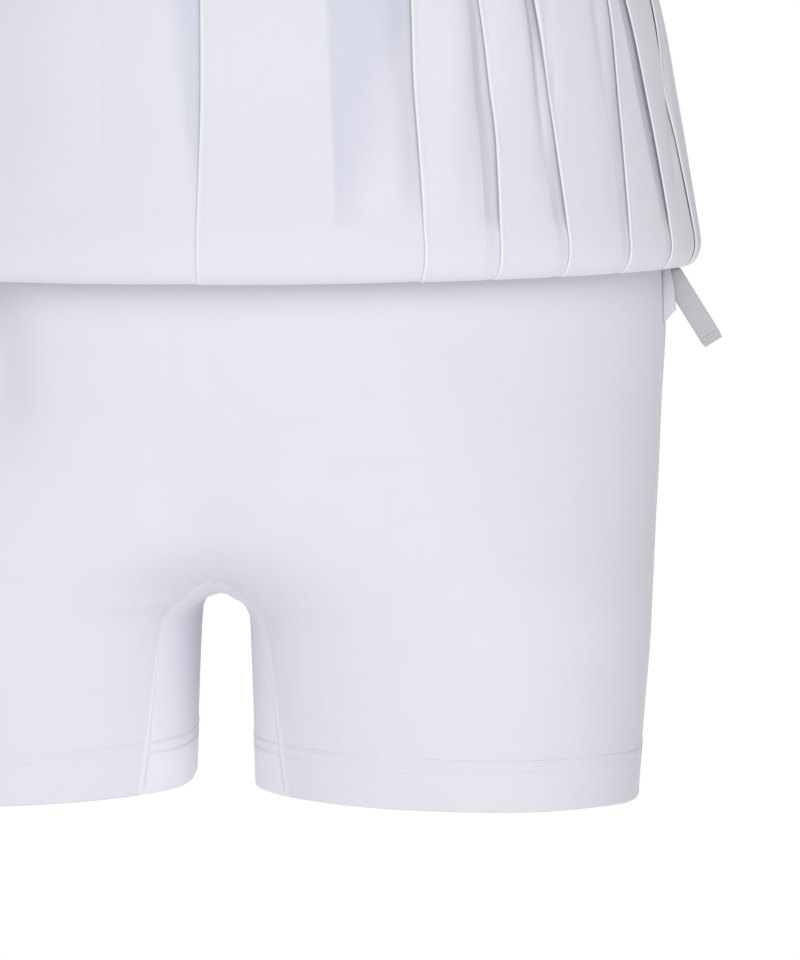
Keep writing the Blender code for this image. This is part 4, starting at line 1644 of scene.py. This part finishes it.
# ---------------------------------------------------------------- side tab and tape
class SideTrim:
    """The small cloth tab and the doubled tape that are sewn into the left side seam."""

    seam_gap = 0.35
    tab_setback = 0.6
    tab_wall = 1.0
    tab_outline = ((0.0, -171.2), (2.6, -171.6), (4.0, -179.5), (4.6, -188.0), (2.4, -190.2),
                   (0.0, -193.2))
    tape_width = 7.8
    tape_length = 25.5
    tape_wall = 1.6
    tape_lean = 32.0
    tape_top = (165.0, -178.2)
    tape_limit = (162.2, -172.7)     # how far in and up its hidden end reaches

    def __init__(self, shorts: ShortsForm, finishes: Finishes) -> None:
        """Keeps the shorts' form, which the tab follows, and the finishes.

        Args:
            shorts: The shorts' shape.
            finishes: The garment's materials.
        """
        self.shorts = shorts
        self.finishes = finishes

    def make_tab(self) -> bpy.types.Object:
        """Makes the cloth tab as a soft cut piece with a rounded edge.

        Returns:
            The piece.
        """
        front = -self.shorts.side_seam_forward + self.tab_setback
        bm = bmesh.new()
        verts = []
        for out, z in self.tab_outline:
            angle = self.shorts.angle_at_depth(front + self.tab_wall, z, False)
            x = self.shorts.leg_point(angle, z, 1.0).x + self.seam_gap + out
            verts.append(bm.verts.new(Vector((x, front, z)) * MM))
        face = bm.faces.new(verts)
        made = bmesh.ops.extrude_face_region(bm, geom=[face])
        moved = [item for item in made["geom"] if isinstance(item, bmesh.types.BMVert)]
        bmesh.ops.translate(bm, verts=moved, vec=(0.0, self.tab_wall * MM, 0.0))
        bmesh.ops.recalc_face_normals(bm, faces=bm.faces)
        bmesh.ops.bevel(bm, geom=bm.edges[:], offset=0.3 * MM, segments=3, profile=0.5,
                        affect="EDGES", material=-1)
        self.flat_map(bm)
        # The tab's grey finish is painted shade.
        piece = finish_piece(bm, "side_tab_cloth", self.finishes.single_jersey_painted_shade)
        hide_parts("side_tab")
        return piece

    @staticmethod
    def flat_map(bm: bmesh.types.BMesh) -> None:
        """Lays the cloth map of a flat piece on its front face's own x and z."""
        layer = bm.loops.layers.uv.new(CLOTH_UV)
        for face in bm.faces:
            for loop in face.loops:
                loop[layer].uv = (loop.vert.co.x, loop.vert.co.z)

    def tape_frame(self) -> tuple[Vector, Vector, Vector]:
        """Top middle of the tape, its direction down and its direction across."""
        lean = math.radians(self.tape_lean)
        along = Vector((math.sin(lean), 0.0, -math.cos(lean)))
        across = Vector((math.cos(lean), 0.0, math.sin(lean)))
        front = (-self.shorts.side_seam_forward + self.tab_setback + self.tab_wall
                 + self.seam_gap)
        top = Vector((self.tape_top[0], front + self.tape_wall / 2.0, self.tape_top[1]))
        return top, along, across

    def make_tape(self) -> bpy.types.Object:
        """Makes the tape, folded on itself at its lower end.

        Returns:
            The piece.
        """
        top, along, across = self.tape_frame()
        cloth, gap = 0.55, 0.34
        radius = (cloth + gap) / 2.0
        straight = self.tape_length - radius - cloth / 2.0
        columns, rows, bend_rows = 10, 16, 6
        path = [(straight * k / rows, 0.0) for k in range(rows + 1)]
        path += [(straight, math.pi * k / bend_rows) for k in range(1, bend_rows + 1)]
        path += [(straight * (1.0 - k / rows), math.pi) for k in range(1, rows + 1)]

        def place(column: int, row: int) -> Vector:
            """Point of the folded tape."""
            distance, turn = path[row]
            ahead = -radius * math.cos(turn)
            wide = self.tape_width * (column / columns - 0.5)
            start = top + across * wide
            rise = min((self.tape_limit[1] - start.z) / -along.z,
                       (start.x - self.tape_limit[0]) / along.x)
            down = distance + radius * math.sin(turn) - rise * smooth_step(distance, 8.0, 0.0)
            edge = 1.0 - 0.10 * smooth_step(down, self.tape_length - 1.6, self.tape_length)
            curl = 0.10 * math.sin(down * 0.35)
            return top + along * down + across * (wide * edge) + Vector((0.0, ahead + curl, 0.0))

        bm = cloth_grid(columns, len(path) - 1, place)
        along_map = [self.tape_width * c / columns for c in range(columns + 1)]
        down_map = [self.tape_length * 2.0 * r / len(path) for r in range(len(path))]
        lay_cloth_map(bm, along_map, down_map)
        piece = finish_piece(bm, "side_tape_cloth", self.finishes.tape)
        thicken(piece, cloth)
        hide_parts("side_tape")
        return piece

    def make_bar_tack(self) -> bpy.types.Object:
        """Sews the close bar of stitches across the tape's end.

        Returns:
            The piece.
        """
        top, along, across = self.tape_frame()
        stitches = []
        count = 16
        for k in range(count):
            wide = (self.tape_width - 1.2) * (k / (count - 1) - 0.5)
            middle = top + along * (self.tape_length - 2.6) + across * wide
            middle += Vector((0.0, -self.tape_wall / 2.0 + 0.02, 0.0))
            stitches.append(Stitch(middle, along, Vector((0.0, -1.0, 0.0))))
        # The tack takes the tab's grey finish, painted shade.
        piece = sew(stitches, StitchSize(1.3, 0.50, 0.18), "tape_bar_tack",
                    self.finishes.single_jersey_painted_shade)
        return piece

    def build(self) -> list[bpy.types.Object]:
        """Makes the tab, the tape and its bar tack, which are sewn to the shorts.

        Returns:
            The three pieces.
        """
        return [self.make_tab(), self.make_tape(), self.make_bar_tack()]


# ---------------------------------------------------------------- studio
@dataclass
class Studio:
    """Plain white studio: soft dome, one large softbox, a pale floor and the camera."""

    dome: float = 0.38
    softbox_power: float = 29.3
    softbox_size: float = 2.2
    softbox_at: tuple[float, float, float] = (0.40, -2.04, 0.86)
    floor_z: float = -1.02
    floor_radius: float = 2.6
    floor_plain_radius: float = 1.1
    floor_glow_near: float = 0.40
    floor_glow_far: float = 1.0
    aim: tuple[float, float, float] = (0.0629, 0.0, -0.252)
    azimuth: float = 4.0
    elevation: float = 4.8
    distance: float = 1.8
    mm_per_pixel: float = 0.37
    image_width: int = 800
    sensor: float = 36.0

    def build(self) -> None:
        """Sets up light, floor, camera and the plain display of colours."""
        self.make_world()
        self.make_softbox()
        self.make_floor()
        self.make_camera()
        view = bpy.context.scene.view_settings
        view.view_transform = "Standard"
        view.look = "None"

    def make_world(self) -> None:
        """A white surround whose light is a little softer than it looks."""
        world = bpy.data.worlds.new("white_studio")
        bpy.context.scene.world = world
        world.use_nodes = True
        tree = world.node_tree
        tree.nodes.clear()
        seen = add_node(tree, "ShaderNodeBackground", None, {
            "Color": (1.0, 1.0, 1.0, 1.0), "Strength": 1.0}).outputs["Background"]
        dome = add_node(tree, "ShaderNodeBackground", None, {
            "Color": srgb("FDFDFF"), "Strength": self.dome}).outputs["Background"]
        path = add_node(tree, "ShaderNodeLightPath").outputs["Is Camera Ray"]
        mix = add_node(tree, "ShaderNodeMixShader", None, {0: path, 1: dome, 2: seen})
        add_node(tree, "ShaderNodeOutputWorld", None, {"Surface": mix.outputs["Shader"]})

    def make_softbox(self) -> None:
        """One large soft light from the front, above and to the right of the camera."""
        light = bpy.data.lights.new("softbox", "AREA")
        light.shape = "DISK"
        light.size = self.softbox_size
        light.energy = self.softbox_power
        softbox = bpy.data.objects.new("softbox", light)
        place = Vector(self.softbox_at)
        towards = Vector((0.0, 0.0, -0.2)) - place
        softbox.location = place
        softbox.rotation_euler = towards.to_track_quat("-Z", "Y").to_euler()
        bpy.context.scene.collection.objects.link(softbox)

    def make_floor(self) -> None:
        """A pale floor below a standing wearer, which fades into the white round it."""
        material = bpy.data.materials.new("pale_floor")
        material.use_nodes = True
        shader = material.node_tree.nodes["Principled BSDF"]
        shader.inputs["Base Color"].default_value = srgb("F2F2F4")
        shader.inputs["Roughness"].default_value = 0.9
        shader.inputs["Emission Color"].default_value = (1.0, 1.0, 1.0, 1.0)
        tree = material.node_tree
        place = add_node(tree, "ShaderNodeTexCoord").outputs["Object"]
        away = add_node(tree, "ShaderNodeVectorMath", {"operation": "LENGTH"}, {0: place})
        glow = add_node(tree, "ShaderNodeMapRange", {"interpolation_type": "SMOOTHSTEP"}, {
            "Value": away.outputs["Value"], "From Min": self.floor_plain_radius,
            "From Max": self.floor_radius,
            "To Min": self.floor_glow_near, "To Max": self.floor_glow_far})
        tree.links.new(glow.outputs["Result"], shader.inputs["Emission Strength"])
        bm = bmesh.new()
        bmesh.ops.create_circle(bm, cap_ends=True, segments=96, radius=self.floor_radius)
        bmesh.ops.translate(bm, verts=bm.verts, vec=(0.0, 0.0, self.floor_z))
        mesh = bpy.data.meshes.new("floor")
        bm.to_mesh(mesh)
        bm.free()
        mesh.materials.append(material)
        floor = bpy.data.objects.new("floor", mesh)
        bpy.context.scene.collection.objects.link(floor)
        floor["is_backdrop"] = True

    def make_camera(self) -> None:
        """The photograph's view: a long lens, slightly above and to the wearer's left."""
        turn, rise = math.radians(self.azimuth), math.radians(self.elevation)
        back = Vector((
            math.sin(turn) * math.cos(rise), -math.cos(turn) * math.cos(rise), math.sin(rise)))
        data = bpy.data.cameras.new("camera")
        data.sensor_fit = "HORIZONTAL"
        data.sensor_width = self.sensor
        width = self.image_width * self.mm_per_pixel * MM
        data.lens = self.sensor * self.distance / width
        camera = bpy.data.objects.new("camera", data)
        camera.location = Vector(self.aim) + back * self.distance
        camera.rotation_euler = (-back).to_track_quat("-Z", "Y").to_euler()
        bpy.context.scene.collection.objects.link(camera)
        bpy.context.scene.camera = camera


# ---------------------------------------------------------------- the whole scene
def write_sizes(
    frame_box: tuple[Vector, Vector], dressed_box: tuple[Vector, Vector],
) -> None:
    """Turns the frame's box and the dressed garment's box into plain lists, which it throws away.
    """
    boxes = {"cad": frame_box, "visual": dressed_box}
    {name: [list(low), list(high)] for name, (low, high) in boxes.items()}


def main() -> None:
    """Dresses the frame and sets up the studio."""
    logging.basicConfig(level=logging.INFO, format="%(name)s: %(message)s")
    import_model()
    frame_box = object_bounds()
    finishes = Finishes()
    Waistband(finishes).build()
    PleatedSkirt(SkirtForm(), finishes).build()
    InnerShorts(ShortsForm(), finishes).build()
    Studio().build()
    write_sizes(frame_box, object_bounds())


if __name__ == "__main__":
    main()
